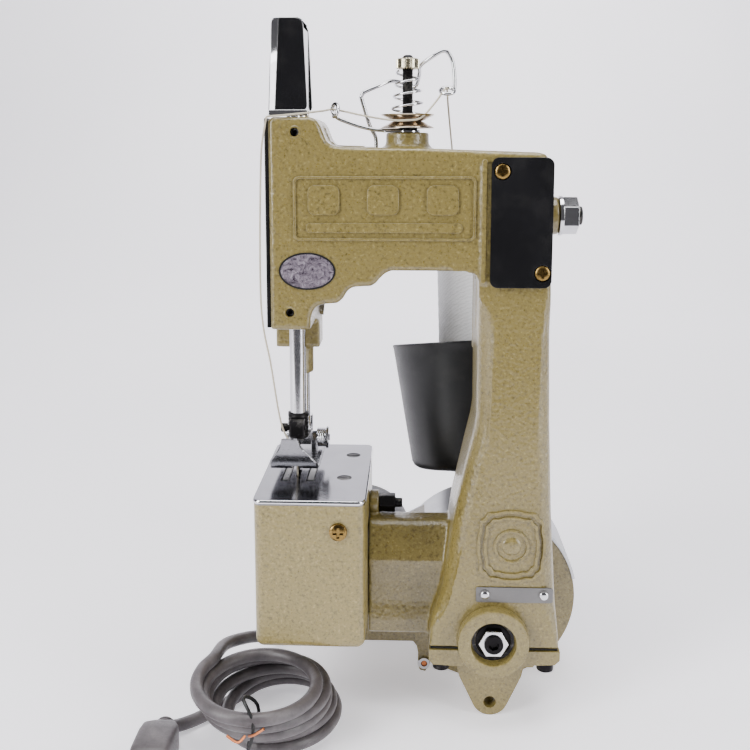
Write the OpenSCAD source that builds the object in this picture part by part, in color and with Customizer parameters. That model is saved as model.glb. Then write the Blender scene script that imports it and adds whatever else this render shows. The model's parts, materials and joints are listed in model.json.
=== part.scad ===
// Portable bag closer sewing machine.
// Millimetres. X runs along the arm, Y to the rear, Z up. The feet stand on Z = 0.

/* [Frame casting] */
// Depth of the head and arm, front to rear
arm_d = 52; // [44:1:60]
// Depth of the column, front to rear
column_d = 46; // [38:1:54]
// Height of the arm top above the feet
arm_top = 311; // [300:1:325]
// Height of the arm underside
arm_under = 249; // [242:1:256]
// Height of the split line between the column and its bottom cap
split_z = 44.5; // [42:0.5:50]

/* [Looper box] */
// Left face of the box
box_x0 = -124.5; // [-130:0.5:-118]
// Right face of the box
box_x1 = -67.5; // [-72:0.5:-64]
// Front face of the box
box_y0 = -20; // [-26:1:-12]
// Rear face of the box
box_y1 = 72; // [62:1:80]
// Underside of the box
box_z0 = 54; // [48:1:60]
// Top of the box, under the throat plate
box_z1 = 131.5; // [124:0.5:138]
// Wall of the box cover
box_wall = 2.5; // [2:0.1:4]
// Thickness of the throat plate
plate_t = 3; // [2:0.2:4]

/* [Drive] */
// Height of the main shaft axis
shaft_z = 51; // [48:0.5:58]
// Radius of the main shaft
shaft_r = 6; // [5:0.5:8]
// Throw of the drive eccentric
throw = 2.7; // [2:0.1:3]
// Outer radius of the driven pulley
pulley_r = 34; // [30:1:40]
// Outer radius of the motor pulley
motor_pulley_r = 12; // [9:1:15]
// Radius of the belt housing
housing_r = 52; // [48:1:56]
// Motor axis, left of the main shaft
motor_x = -78; // [-84:1:-72]
// Height of the motor axis
motor_z = 42; // [38:1:46]
// Radius of the motor body
motor_r = 33; // [28:1:36]
// Length of the motor body
motor_l = 62; // [50:1:80]

/* [Needle and presser] */
// Needle bar axis, left of the main shaft
needle_x = -105.5; // [-110:0.5:-100]
// Needle bar axis, behind the front face
needle_y = 20; // [16:0.5:26]
// Radius of the needle bar
needle_bar_r = 4.4; // [3.5:0.1:5]
// Presser bar axis, left of the main shaft
presser_x = -105; // [-107:0.5:-100]
// Presser bar axis, behind the front face
presser_y = 38; // [34:0.5:42]
// Radius of the presser bar
presser_r = 4; // [3:0.1:5]
// Height of the foot above the throat plate at rest
foot_gap = 6.5; // [1:0.5:8]

/* [Thread] */
// Tension post axis, left of the main shaft
post_x = -47; // [-55:0.5:-40]
// Tension post axis, behind the front face
post_y = 23; // [18:0.5:30]
// Radius of the cup at its rim
cup_rim_r = 48; // [44:0.5:54]
// Radius of the cup at its floor
cup_floor_r = 40; // [36:0.5:46]
// Height of the cup
cup_h = 78; // [70:1:86]
// Lean of the cup and the thread cone, to the rear
cup_back = 12; // [0:0.5:15]
// Lean of the cup and the thread cone, to the left
cup_lean = 3.6; // [0:0.1:6]
// Height of the thread cone
cone_h = 165; // [140:5:175]

/* [Hidden] */
$fn = 64;
eps = 0.01;
// The shift that centres the machine over the origin.
origin_x = 36.25;
origin_y = -76.625;
plate_z = box_z1 + plate_t;
foot_z = plate_z + foot_gap;
pivot = [-12, 0, 278];
lever_l = 83;
lever_short = 16;
lever_rest = -9.7;
rod_pin = [pivot[0] + lever_short * cos(lever_rest), 0, pivot[2] - lever_short * sin(lever_rest)];
pin_z = pivot[2] + lever_l * sin(lever_rest);
cup_base = [-3.6, 105, 112];
belt_y = 81;
motor_y = 100;

// Head, arm and column in one outline, seen from the front.
frame_outline = [
    [-117, 218], [-117, 324.5], [-115, 326.5], [-95.5, 326.5], [-92.5, 325], [-90.5, 322],
    [-89, 318], [-87.5, 314.5], [-85, 312.5], [-80, 311.6], [-40, arm_top], [18.5, 309], [22, 308.2],
    [23.8, 306], [26.4, arm_under], [28.5, 168], [30.5, 120], [33, 80], [35.5, split_z + 0.6],
    [-34, split_z + 0.6], [-33.6, 55], [-32.4, 62], [-30, 68], [-27.5, 76], [-24.2, 97], [-21, 119],
    [-16.5, 139.5], [-13.7, 152.5], [-11, 164], [-10, 172], [-10, arm_under - 8], [-10.6, 245.9],
    [-12.3, 246.7], [-14.6, 248.3], [-18, arm_under], [-55, arm_under], [-58, 247.6],
    [-60.5, 245.3], [-62.8, 242.4], [-65.3, 241], [-73.3, 240.5], [-75.8, 239.8], [-77.6, 238],
    [-79.6, 234.5], [-82.5, 232], [-89, 231.6], [-92.6, 230.6], [-95, 228.4], [-96.2, 225],
    [-96.5, 218]
];

// The lower arm in section, seen from the left.
beam_section = [
    [16, 45], [12.6, 47.5], [12, 54], [14, 64], [14.6, 75], [13, 84], [12, 88.5], [14.5, 94], [18.6, 101],
    [21, 105], [24, 107.5], [36, 107], [50, 100.5], [56, 93], [56, 54], [52, 45]
];

// The front of the bottom cap with its lug.
cap_outline = [
    [-34, split_z - 0.6], [-34, 38], [-32, 35.5], [-22, 35], [-18.6, 29], [-17, 22.5], [-9.4, 6.4],
    [9.4, 6.4], [17, 23], [18.6, 30], [22.5, 36], [33.5, 36.5], [36, 39], [36, split_z - 0.6]
];

function unit(v) = v / norm(v);
function tangent(p, i) = unit(p[min(i + 1, len(p) - 1)] - p[max(i - 1, 0)]);
function level(v, t) = unit(v - (v * t) * t);
function sides(p, i, s, acc) =
    i == len(p) ? acc : let (q = level(s, tangent(p, i))) sides(p, i + 1, q, concat(acc, [q]));
function ring(c, t, s, r, n) =
    let (b = cross(t, s)) [for (k = [0:n - 1]) c + r * (cos(360 * k / n) * s + sin(360 * k / n) * b)];
function first_side(t) = abs(t[2]) < 0.8 ? level([0, 0, 1], t) : level([1, 0, 0], t);
function curve(a, b, c, d, t) =
    0.5 * (2 * b + (c - a) * t + (2 * a - 5 * b + 4 * c - d) * t * t + (3 * b - a - 3 * c + d) * t * t * t);
function smooth(p, k) = concat(
    [for (i = [0:len(p) - 2], j = [0:k - 1])
        curve(p[max(i - 1, 0)], p[i], p[i + 1], p[min(i + 2, len(p) - 1)], j / k)],
    [p[len(p) - 1]]
);
function coil(r0, r1, z0, z1, turns, n) =
    [for (i = [0:turns * n])
        let (f = i / (turns * n), r = r0 + (r1 - r0) * f)
        [r * cos(360 * i / n), r * sin(360 * i / n), z0 + (z1 - z0) * f]];

// A round bar swept along a list of points.
module tube(p, r, n) {
    m = len(p);
    s = sides(p, 0, first_side(tangent(p, 0)), []);
    points = [for (i = [0:m - 1]) each ring(p[i], tangent(p, i), s[i], r, n)];
    skin = [for (i = [0:m - 2], k = [0:n - 1])
        each [[i * n + k, (i + 1) * n + k, i * n + (k + 1) % n],
            [i * n + (k + 1) % n, (i + 1) * n + k, (i + 1) * n + (k + 1) % n]]];
    start = [for (k = [1:n - 2]) [0, k, k + 1]];
    end = [for (k = [1:n - 2]) [(m - 1) * n, (m - 1) * n + k + 1, (m - 1) * n + k]];
    polyhedron(points = points, faces = concat(skin, start, end));
}

// A cylinder whose axis runs to the rear from y0 to y1.
module cyl_y(x, z, y0, y1, r) {
    translate([x, y0, z]) rotate([-90, 0, 0]) cylinder(h = y1 - y0, r = r);
}

// A cylinder whose axis runs to the right from x0 to x1.
module cyl_x(y, z, x0, x1, r) {
    translate([x0, y, z]) rotate([0, 90, 0]) cylinder(h = x1 - x0, r = r);
}

// A cylinder that stands from z0 to z1.
module cyl_z(x, y, z0, z1, r) {
    translate([x, y, z0]) cylinder(h = z1 - z0, r = r);
}

module block(a, b) {
    translate(a) cube(b - a);
}

// A plate whose outline is drawn in X and Z, from y0 to y1.
module front_plate(y0, y1) {
    translate([0, y1, 0]) rotate([90, 0, 0]) linear_extrude(height = y1 - y0) children();
}

// A bar whose outline is drawn in Y and Z, from x0 to x1.
module side_bar(x0, x1) {
    translate([x0, 0, 0]) rotate([90, 0, 90]) linear_extrude(height = x1 - x0) children();
}

module round_rect(x0, z0, x1, z1, r) {
    translate([x0 + r, z0]) square([x1 - x0 - 2 * r, z1 - z0]);
    translate([x0, z0 + r]) square([x1 - x0, z1 - z0 - 2 * r]);
    for (x = [x0 + r, x1 - r]) for (z = [z0 + r, z1 - r]) translate([x, z]) circle(r = r);
}

module hexagon(af) {
    circle(r = af / sqrt(3), $fn = 6);
}

// A pan head screw with a cross recess, its head to the front at y0.
module cross_screw(x, z, y0, y1, head_r, shank_r) {
    difference() {
        union() {
            cyl_y(x, z, y0, y0 + 1.8, head_r);
            cyl_y(x, z, y0 + 1.8, y1, shank_r);
        }
        block([x - head_r * 0.55, y0 - eps, z - 0.5], [x + head_r * 0.55, y0 + 1, z + 0.5]);
        block([x - 0.5, y0 - eps, z - head_r * 0.55], [x + 0.5, y0 + 1, z + head_r * 0.55]);
    }
}

module placed() {
    translate([origin_x, origin_y, 0]) children();
}

// Raised border on the front of the arm.
module arm_border() {
    front_plate(-0.8, 0.5) difference() {
        round_rect(-104.4, 264.5, -12.3, 297, 3);
        round_rect(-103, 266, -13.7, 295.6, 2);
    }
}

// Raised plain badge on the front of the column.
module column_badge() {
    difference() {
        union() {
            cyl_y(9, 103, -0.8, 0.5, 17);
            for (a = [0:30:330]) cyl_y(9 + 16 * cos(a), 103 + 16 * sin(a), -0.8, 0.5, 3);
        }
        cyl_y(9, 103, -1, 0, 14.6);
    }
}

// The cast frame: head, arm, column and lower arm.
module main_frame() {
    color("darkkhaki") placed() difference() {
        union() {
            intersection() {
                front_plate(0, arm_d) polygon(frame_outline);
                union() {
                    block([-130, -1, 200], [60, arm_d, 340]);
                    block([-60, -1, 40], [60, column_d, 201]);
                }
            }
            side_bar(box_x1 + 0.1, -14) polygon(beam_section);
            arm_border();
            column_badge();
            // Boss for the bolt between the lower arm and the box.
            cyl_x(36, 112.5, -67.4, -62.1, 7);
            block([-67.4, 30, 104], [-62.1, 42, 112.5]);
            // Boss under the tension post.
            cyl_z(post_x, post_y, 308, 319, 11);
            // Boss on the right of the column for the hanging stud.
            cyl_x(23, 276, 20, 32, 10);
            // Boss under the head for the presser bar.
            block([-118.4, 29, 203], [-94.5, 48, 218.4]);
            cyl_z(presser_x, presser_y, 187.3, 205, 6.2);
            // Neck between the column and the belt housing.
            cyl_y(0, shaft_z, 44, 52, 30);
        }
        // Head and its left opening.
        block([-118, 9, 234], [-96.4, 47, 316]);
        // Arm.
        block([-99, 12, 256], [20, 40, 301]);
        // Column, behind the side cover.
        block([3.5, -1, 254], [18.5, 13, 295]);
        block([-3, 8, 84], [21, 40, 260]);
        block([-19, 8, 34], [19, 40, 90]);
        // Lower arm.
        block([-70, 22, 58], [-18, 44, 96]);
        cyl_x(36, 112.5, -80, -50, 3.05);
        // Main shaft and its two bearings.
        cyl_y(0, shaft_z, -1, 9, 11);
        cyl_y(0, shaft_z, 39, 53, 9);
        // Needle bar bushings.
        cyl_z(needle_x, needle_y, 200, 240, 7);
        cyl_z(needle_x, needle_y, 310, 330, 7);
        // Presser bar and its adjuster.
        cyl_z(presser_x, presser_y, 185, 240, presser_r + 0.05);
        cyl_z(presser_x, presser_y, 310, 330, 5.2);
        // Rocker pivot.
        cyl_y(pivot[0], pivot[2], 3, 46, 4);
        // Hanging stud.
        cyl_x(23, 276, 19, 33, 5);
        // Tension post.
        cyl_z(post_x, post_y, 300, 322, 3);
        // Set screw holes of the head.
        cyl_y(-103.5, 319, -1, 6, 2.3);
        cyl_y(-106.8, 227, -1, 6, 2.3);
        // Cap screw holes.
        cyl_z(-27.3, 7, 40, 60, 3);
        cyl_z(29.2, 7, 40, 60, 3);
        // Side cover screw holes.
        cyl_y(0.5, 299.5, -1, 8, 1.7);
        cyl_y(21.4, 248.5, -1, 8, 1.7);
        // Handle posts and presser lever pivot.
        cyl_y(-90, 280, 46, 53, 3);
        cyl_y(-38, 280, 46, 53, 3);
        cyl_y(-96, 250, 46, 53, 2.5);
        // Wire guide feet.
        cyl_z(-63.5, post_y, 305, 313, 1.2);
    }
}

module rating_plate() {
    color("silver") placed() {
        difference() {
            front_plate(-0.8, 0) round_rect(-9.4, 72, 31.3, 80.4, 1.2);
            cyl_y(-4.6, 76.2, -1, 1, 1.6);
            cyl_y(26.5, 76.2, -1, 1, 1.6);
        }
        for (x = [-4.6, 26.5]) cyl_y(x, 76.2, -1.6, 0, 1.6);
        for (x = [-4.6, 26.5]) cyl_y(x, 76.2, -1.6, -0.8, 2.7);
    }
}

// The box round the looper and the feed.
module box_cover() {
    color("darkkhaki") placed() difference() {
        intersection() {
            translate([0, 0, box_z0]) linear_extrude(height = box_z1 - box_z0)
                round_rect(box_x0, box_y0, box_x1, box_y1, 4);
            union() {
                front_plate(box_y0, box_y1) round_rect(box_x0, box_z0, box_x1 - 0.1, box_z1 + 10, 5);
                front_plate(box_y0, box_y1) translate([box_x1 - 20, box_z0]) square([20, 100]);
            }
        }
        block([box_x0 + box_wall, box_y0 + box_wall, box_z0 + box_wall],
            [box_x1 - box_wall, box_y1 - box_wall, box_z1 + 1]);
        // Opening for the lower arm.
        block([box_x1 - 5, 11.5, box_z0 + box_wall], [box_x1 + 1, 56.5, 108.5]);
        // Screw holes.
        cyl_y(-81, 118, box_y0 - 1, box_y0 + 5, 2.4);
        cyl_x(36, 112.5, -72, -60, 3.05);
    }
}

// The inner bracket that carries the looper and feed shafts.
module looper_bracket() {
    color("darkkhaki") placed() difference() {
        union() {
            block([-76, 14, 60], [-70.2, 66, 120]);
            block([-121.5, 14, 60], [-116, 66, 120]);
            block([-121.5, 50, 60], [-70.2, 54, 104]);
            block([-70.3, 14, 62], [-67.45, 54, 104]);
            // Pillars under the throat plate.
            block([-84, 8, 112], [-75.9, 20, 131.4]);
            block([-84, box_y0 + box_wall + 0.1, 112], [-78, 9, 124]);
            block([-81.6, 46, 112], [-73.6, 58, 131.4]);
            block([-121.5, 54, 112], [-114, 66, 131.4]);
        }
        cyl_x(34, 82, -130, -60, 5.05);
        cyl_x(60, 114, -130, -60, 3.05);
        cyl_x(36, 112.5, -80, -60, 3.05);
        cyl_y(-81, 118, box_y0 - 1, box_y0 + 14, 2.1);
        for (p = [[-80.2, 14], [-77.6, 52], [-118, 60]]) cyl_z(p[0], p[1], 124, 140, 2.1);
    }
}

module throat_plate() {
    color("gainsboro") placed() difference() {
        translate([0, 0, box_z1]) linear_extrude(height = plate_t)
            round_rect(box_x0, box_y0, box_x1, box_y1, 4);
        // Needle slot.
        block([needle_x - 1.2, needle_y - 6, 120], [needle_x + 1.2, needle_y + 6, 140]);
        // Feed dog slots.
        for (x = [needle_x - 8.5, needle_x + 5]) block([x, 8, 120], [x + 4.5, 42, 140]);
        // Screw holes.
        for (p = [[-80.2, 14], [-77.6, 52], [-118, 60]]) cyl_z(p[0], p[1], 120, 140, 2.1);
        for (p = [[-80.2, 14], [-77.6, 52], [-118, 60]]) cyl_z(p[0], p[1], plate_z - 1.6, 140, 4);
    }
}

module throat_plate_screws() {
    color("dimgray") placed() for (p = [[-80.2, 14], [-77.6, 52], [-118, 60]]) difference() {
        union() {
            cyl_z(p[0], p[1], plate_z - 1.6, plate_z - 0.2, 3.95);
            cyl_z(p[0], p[1], 125, plate_z - 1.5, 2);
        }
        block([p[0] - 4, p[1] - 0.5, plate_z - 1], [p[0] + 4, p[1] + 0.5, 140]);
    }
}

// Two toothed rails that rise through the throat plate.
module feed_dog() {
    color("silver") placed() difference() {
        union() {
            for (x = [needle_x - 7.9, needle_x + 5.6]) block([x, 11, 122], [x + 3.3, 38.5, plate_z - 0.4]);
            for (x = [needle_x - 7.9, needle_x + 5.6]) block([x, 36, 121], [x + 3.3, 48, 128]);
            block([needle_x - 7.9, 42, 121], [needle_x + 8.9, 48, 128]);
        }
        for (y = [13:3:37]) translate([needle_x - 20, y, plate_z - 0.4]) rotate([45, 0, 0])
            cube([40, 1.2, 1.2]);
    }
}

module feed_bar() {
    color("dimgray") placed() {
        cyl_x(60, 114, -121, -70.5, 3);
        block([-109, 54.6, 110.6], [-101, 63, 119]);
        block([-109, 44, 116.5], [-101, 60, 120.95]);
    }
}

// The hook that takes the thread from the needle.
module looper() {
    color("silver") placed() difference() {
        union() {
            front_plate(30, 38) polygon([
                [-107.2, 78], [-100.4, 78], [-100.4, 94], [-101.6, 108], [-102.8, 119], [-104.4, 119],
                [-104.8, 108], [-107.2, 94]
            ]);
            block([-104.4, 14, 116], [-102.8, 38, 119]);
            cyl_x(34, 82, -108, -98, 8);
        }
        cyl_x(34, 82, -130, -60, 5);
        // Pointed tip.
        translate([-110, 14, 117]) rotate([18, 0, 0]) block([0, -3, 0], [10, 12, 4]);
    }
}

module looper_shaft() {
    color("silver") placed() {
        cyl_x(34, 82, -121.4, -20, 5);
    }
}

// Black hex bolt on an olive boss, right of the box.
module beam_bolt() {
    color("#2a2a2c") placed() {
        translate([-62, 36, 112.5]) rotate([0, 90, 0]) linear_extrude(height = 9) rotate(30) hexagon(9.6);
        cyl_x(36, 112.5, -74, -62, 3);
        cyl_x(36, 112.5, -53, -49, 2.6);
    }
}

module bottom_cap() {
    color("darkkhaki") placed() difference() {
        union() {
            front_plate(0, 40) intersection() {
                polygon(cap_outline);
                translate([-60, 34.9]) square([120, 30]);
            }
            front_plate(11, 22) polygon(cap_outline);
            cyl_y(0, 10, 11, 22, 10);
        }
        cyl_y(0, 7.6, 0, 40, 3.4);
        cyl_y(0, shaft_z, -1, 9, 11);
        block([-17, 9, 37], [17, 38, 50]);
        // Room for the yoke of the connecting rod.
        block([-17, 19, 29.4], [17, 31, 50]);
        cyl_z(-27.3, 7, 20, 60, 3.05);
        cyl_z(29.2, 7, 20, 60, 3.05);
    }
}

module cap_screws() {
    color("#232325") placed() for (x = [-27.3, 29.2]) difference() {
        union() {
            cyl_z(x, 7, 30.5, 34.8, 4.6);
            cyl_z(x, 7, 34.8, 58, 2.95);
        }
        translate([x, 7, 30]) linear_extrude(height = 2.6) hexagon(5);
    }
}

// The bearing boss at the front of the main shaft.
module front_bearing() {
    color("darkkhaki") placed() difference() {
        union() {
            cyl_y(0, shaft_z, -7, -0.05, 19);
            cyl_y(0, shaft_z, -0.05, 7.5, 10.95);
        }
        cyl_y(0, shaft_z, -8, -1.6, 11.7);
        cyl_y(0, shaft_z, -8, 9, shaft_r + 0.05);
    }
}

module rear_bushing() {
    color("peru") placed() difference() {
        cyl_y(0, shaft_z, 40.2, 52, 8.95);
        cyl_y(0, shaft_z, 39, 53, shaft_r + 0.05);
    }
}

module main_shaft() {
    color("silver") placed() difference() {
        union() {
            cyl_y(0, shaft_z, -1.9, 91.5, shaft_r);
            cyl_y(0, shaft_z, -6.6, -1.8, 4);
        }
        cyl_y(0, shaft_z, -8, 4, 2.5);
    }
}

module shaft_nut() {
    color("silver") placed() difference() {
        union() {
            front_plate(-6.2, -2.4) translate([0, shaft_z]) hexagon(14);
            cyl_y(0, shaft_z, -2.4, -1.95, 9.5);
        }
        cyl_y(0, shaft_z, -8, 0, 4.02);
    }
}

module shaft_set_screw() {
    color("#1c1c1e") placed() difference() {
        cyl_y(0, shaft_z, -6.9, 2, 2.48);
        front_plate(-8, -5) translate([0, shaft_z]) hexagon(2.6);
    }
}

module drive_eccentric() {
    color("dimgray") placed() difference() {
        union() {
            cyl_y(0, shaft_z + throw, 18, 30, 9.2);
            cyl_y(0, shaft_z, 12, 18, 9);
        }
        cyl_y(0, shaft_z, 10, 32, shaft_r + 0.02);
    }
}

module connecting_rod() {
    color("silver") placed() difference() {
        union() {
            front_plate(20, 28) translate([-15.8, shaft_z - 15.6]) square([31.6, 36.8]);
            block([-1, 20, shaft_z + 20], [8.6, 28, 262]);
            cyl_y(rod_pin[0], rod_pin[2], 20, 28, 7);
            block([-1, 20, 260], [8.6, 28, rod_pin[2]]);
        }
        // Window round the eccentric, open for its full throw.
        front_plate(19, 29) translate([-12.4, shaft_z - 12.4]) square([24.8, 30.2]);
        cyl_y(rod_pin[0], rod_pin[2], 15, 35, 4.05);
    }
}

// The lever in the arm that drives the needle bar.
module rocker_lever() {
    color("dimgray") placed() translate(pivot) rotate([0, lever_rest, 0]) difference() {
        union() {
            cyl_y(0, 0, 14, 38, 8);
            front_plate(14.5, 19.5) polygon([
                [-lever_l - 4, -4.6], [0, -7.5], [lever_short, -5.5], [lever_short, 5.5], [0, 7.5],
                [-lever_l - 4, 4.6]
            ]);
            front_plate(28.5, 33.5) polygon([[0, -7], [lever_short, -5.5], [lever_short, 5.5], [0, 7]]);
            cyl_y(lever_short, 0, 14.5, 33.5, 4);
            cyl_y(lever_short, 0, 14.5, 19.5, 6);
            cyl_y(lever_short, 0, 28.5, 33.5, 6);
            cyl_y(-lever_l, 0, 14.5, 25, 4);
        }
        cyl_y(0, 0, 0, 50, 4.05);
    }
}

module rocker_pivot() {
    color("silver") placed() {
        cyl_y(pivot[0], pivot[2], 4, 45, 3.98);
    }
}

module side_cover() {
    color("#101012") placed() difference() {
        front_plate(-3, 0) round_rect(-5, 241, 26, 306.5, 4);
        cyl_y(0.5, 299.5, -5, -1.2, 4.3);
        cyl_y(21.4, 248.5, -5, -1.2, 4.3);
        cyl_y(0.5, 299.5, -5, 1, 1.7);
        cyl_y(21.4, 248.5, -5, 1, 1.7);
    }
}

// The gilt cross screws of the two covers.
module cover_screws() {
    color("goldenrod") placed() {
        cross_screw(0.5, 299.5, -3, 6, 4.1, 1.6);
        cross_screw(21.4, 248.5, -3, 6, 4.1, 1.6);
        cross_screw(-81, 118, box_y0 - 1.8, box_y0 + 12, 4.6, 2);
    }
}

module hanging_stud() {
    color("#3a3a3c") placed() {
        cyl_x(23, 276, 22, 44.5, 4.9);
    }
}

module hanging_nut() {
    color("silver") placed() difference() {
        union() {
            translate([34, 23, 276]) rotate([0, 90, 0]) linear_extrude(height = 8) hexagon(17);
            cyl_x(23, 276, 32.05, 34.1, 10.6);
        }
        cyl_x(23, 276, 30, 50, 4.95);
    }
}

module face_plate() {
    color("#161618") placed() {
        block([-119.2, 3, 218.7], [-117.05, 49, 326]);
    }
}

module needle_bar_bushings() {
    color("peru") placed() for (z = [[218.2, 234], [316, 326.4]]) difference() {
        cyl_z(needle_x, needle_y, z[0], z[1], 6.95);
        cyl_z(needle_x, needle_y, z[0] - 1, z[1] + 1, needle_bar_r + 0.05);
    }
}

module needle_bar() {
    color("gainsboro") placed() difference() {
        union() {
            cyl_z(needle_x, needle_y, 163.2, 336, needle_bar_r);
            // Driving block inside the head.
            block([-112, 12, pin_z - 8], [-99.2, 27, pin_z + 8]);
            block([-99.4, 20.5, pin_z - 8], [-89, 25.5, pin_z + 8]);
            // Take-up eyelet, inside the guard.
            cyl_z(needle_x, needle_y, 335, 338, 5.4);
            block([-112.4, 17, 336], [-106, 23, 338]);
            block([-112.4, 17, 336], [-110.9, 23, 344.9]);
        }
        cyl_x(20, 341.5, -116, -108, 1.6);
        // Slot for the lever pin.
        front_plate(20, 26) translate([-99.2, pin_z - 4.4]) square([12, 8.8]);
        cyl_z(needle_x, needle_y, 155, 181.5, 1.05);
    }
}

module needle_clamp() {
    color("#1a1a1c") placed() difference() {
        union() {
            cyl_z(needle_x, needle_y, 155.2, 169.4, 5.6);
            block([needle_x - 4, needle_y - 8, 157.4], [needle_x + 4, needle_y, 167.2]);
            cyl_x(needle_y, 162.2, needle_x - 8.4, needle_x + 5, 2.4);
        }
        cyl_z(needle_x, needle_y, 163.1, 170.4, needle_bar_r + 0.02);
        cyl_z(needle_x, needle_y, 154, 163.2, 1.05);
    }
}

module needle() {
    color("gainsboro") placed() difference() {
        union() {
            cyl_z(needle_x, needle_y, 149.2, 180.2, 1);
            cyl_z(needle_x, needle_y, 119, 149.3, 0.7);
            translate([needle_x, needle_y, 114]) cylinder(h = 5.1, r1 = 0.15, r2 = 0.7, $fn = 32);
        }
        block([needle_x - 0.25, needle_y - 2, 120], [needle_x + 0.25, needle_y + 2, 122]);
    }
}

// Presser bar with the block that holds the foot.
module presser_bar() {
    color("gainsboro") placed() {
        cyl_z(presser_x, presser_y, foot_z + 15, 296, presser_r - 0.05);
        difference() {
            union() {
                block([-109.7, 33.5, foot_z + 5.6], [-100.2, 44, foot_z + 14]);
                cyl_z(presser_x, presser_y, foot_z + 13, foot_z + 22, 5.6);
            }
            cyl_x(presser_y - 1, foot_z + 9, -125, -90, 1.95);
        }
        difference() {
            block([-111.5, 31.5, 244], [-101.1, 45, 251]);
            cyl_z(presser_x, presser_y, 240, 260, 3);
        }
    }
}

module presser_spring() {
    color("silver") placed() translate([presser_x, presser_y, 0])
        tube(coil(4.9, 4.9, 251.8, 297.8, 9, 14), 0.55, 8);
}

module presser_adjuster() {
    color("silver") placed() {
        difference() {
            union() {
                cyl_z(presser_x, presser_y, 298.5, 352, 5);
                cyl_z(presser_x, presser_y, 352, 359, 6);
                for (z = [332:2:350]) cyl_z(presser_x, presser_y, z, z + 1, 5.5);
            }
            cyl_z(presser_x, presser_y, 290, 309, presser_r + 0.6);
        }
    }
}

// Foot with a turned-up toe; it swings on the end of the presser bar.
module presser_foot() {
    color("gainsboro") placed() difference() {
        union() {
            intersection() {
                side_bar(-122.5, -91) polygon([
                    [44, foot_z], [44, foot_z + 2.4], [30, foot_z + 2.6], [12, foot_z + 2.6],
                    [8, foot_z + 3.4],
                    [5, foot_z + 5.6], [3, foot_z + 10], [2.2, foot_z + 18.2],
                    [0.4, foot_z + 18.7], [0.6, foot_z + 9],
                    [2.2, foot_z + 3.8], [4.6, foot_z + 1.6], [8, foot_z + 0.2], [11, foot_z]
                ]);
                front_plate(-5, 50) polygon([
                    [-119.4, foot_z - 1], [-119.4, foot_z + 3.5], [-118.4, foot_z + 6.4],
                    [-115.8, foot_z + 9.4], [-113.4, foot_z + 13], [-111.6, foot_z + 19],
                    [-103.5, foot_z + 19], [-101.2, foot_z + 13], [-97.6, foot_z + 9.4],
                    [-94.6, foot_z + 6.4], [-93.2, foot_z + 3.5], [-93.2, foot_z - 1]
                ]);
            }
            // Uprights that take the pivot pin.
            for (x = [-112.9, -99.9]) block([x, 31, foot_z + 2], [x + 2.8, 43, foot_z + 12]);
            cyl_x(presser_y - 1, foot_z + 9, -114.5, -95.5, 1.9);
        }
        block([needle_x - 2, 4, foot_z - 1], [needle_x + 2, 27, foot_z + 6]);
    }
}

module presser_lever() {
    color("gainsboro") placed() {
        cyl_y(-96, 250, 46.5, 56, 2.45);
        cyl_y(-96, 250, 52.3, 58, 6);
        front_plate(53, 57) polygon([
            [-99, 252], [-93, 255], [-66, 262], [-63, 258], [-90, 246], [-97, 244]
        ]);
        front_plate(53, 57) polygon([[-101, 252], [-91, 252], [-94.5, 217], [-98.5, 217]]);
        cyl_y(-64.5, 260, 53, 57, 4);
    }
}

// Bent bright cover above the head, open underneath.
module top_guard() {
    color("gainsboro") placed() difference() {
        union() {
            front_plate(7, 31) difference() {
                round_rect(-116.5, 326.6, -97.2, 376, 3.5);
                round_rect(-114.4, 320, -90, 373.9, 2.4);
            }
            block([-116.5, 7, 326.6], [-114.4, 31, 336]);
        }
        block([-130, 0, 300], [-90, 50, 326.6]);
        // The thread slot.
        block([-118, 18, 334], [-113, 22, 362]);
    }
}

// Black side panels of the guard.
module guard_panels() {
    color("#101012") placed() for (y = [5, 28.9])
        front_plate(y, y + 2) round_rect(-113.8, 328, -97.2, 373.4, 3.4);
}

module tension_post() {
    color("#2b2b2d") placed() {
        cyl_z(post_x, post_y, 301, 358.6, 2.9);
        cyl_z(post_x, post_y, 320.35, 321.6, 5);
    }
}

module tension_discs() {
    color("burlywood") placed() difference() {
        union() {
            translate([post_x, post_y, 0]) rotate_extrude() polygon([
                [3.2, 323.7], [9, 323.7], [13.2, 321.9], [13.9, 322.2], [9.2, 324.7], [3.2, 324.7]
            ]);
            translate([post_x, post_y, 0]) rotate_extrude() polygon([
                [3.2, 325.1], [9.2, 325.1], [13.9, 327.6], [13.2, 328], [9, 326.1], [3.2, 326.1]
            ]);
            cyl_z(post_x, post_y, 324.2, 325.7, 6);
        }
        cyl_z(post_x, post_y, 300, 340, 3.2);
    }
}

module tension_spring() {
    color("gainsboro") placed() translate([post_x, post_y, 0])
        tube(coil(8.2, 5.4, 327.3, 350.6, 3.5, 16), 0.6, 8);
}

module tension_nut() {
    color("lightyellow") placed() difference() {
        union() {
            cyl_z(post_x, post_y, 351.3, 356.9, 5.6);
            for (a = [0:20:340])
                translate([5.3 * cos(a), 5.3 * sin(a), 0])
                    cyl_z(post_x, post_y, 351.3, 356.9, 0.6, $fn = 8);
        }
        cyl_z(post_x, post_y, 340, 360, 2.95);
    }
}

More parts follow.
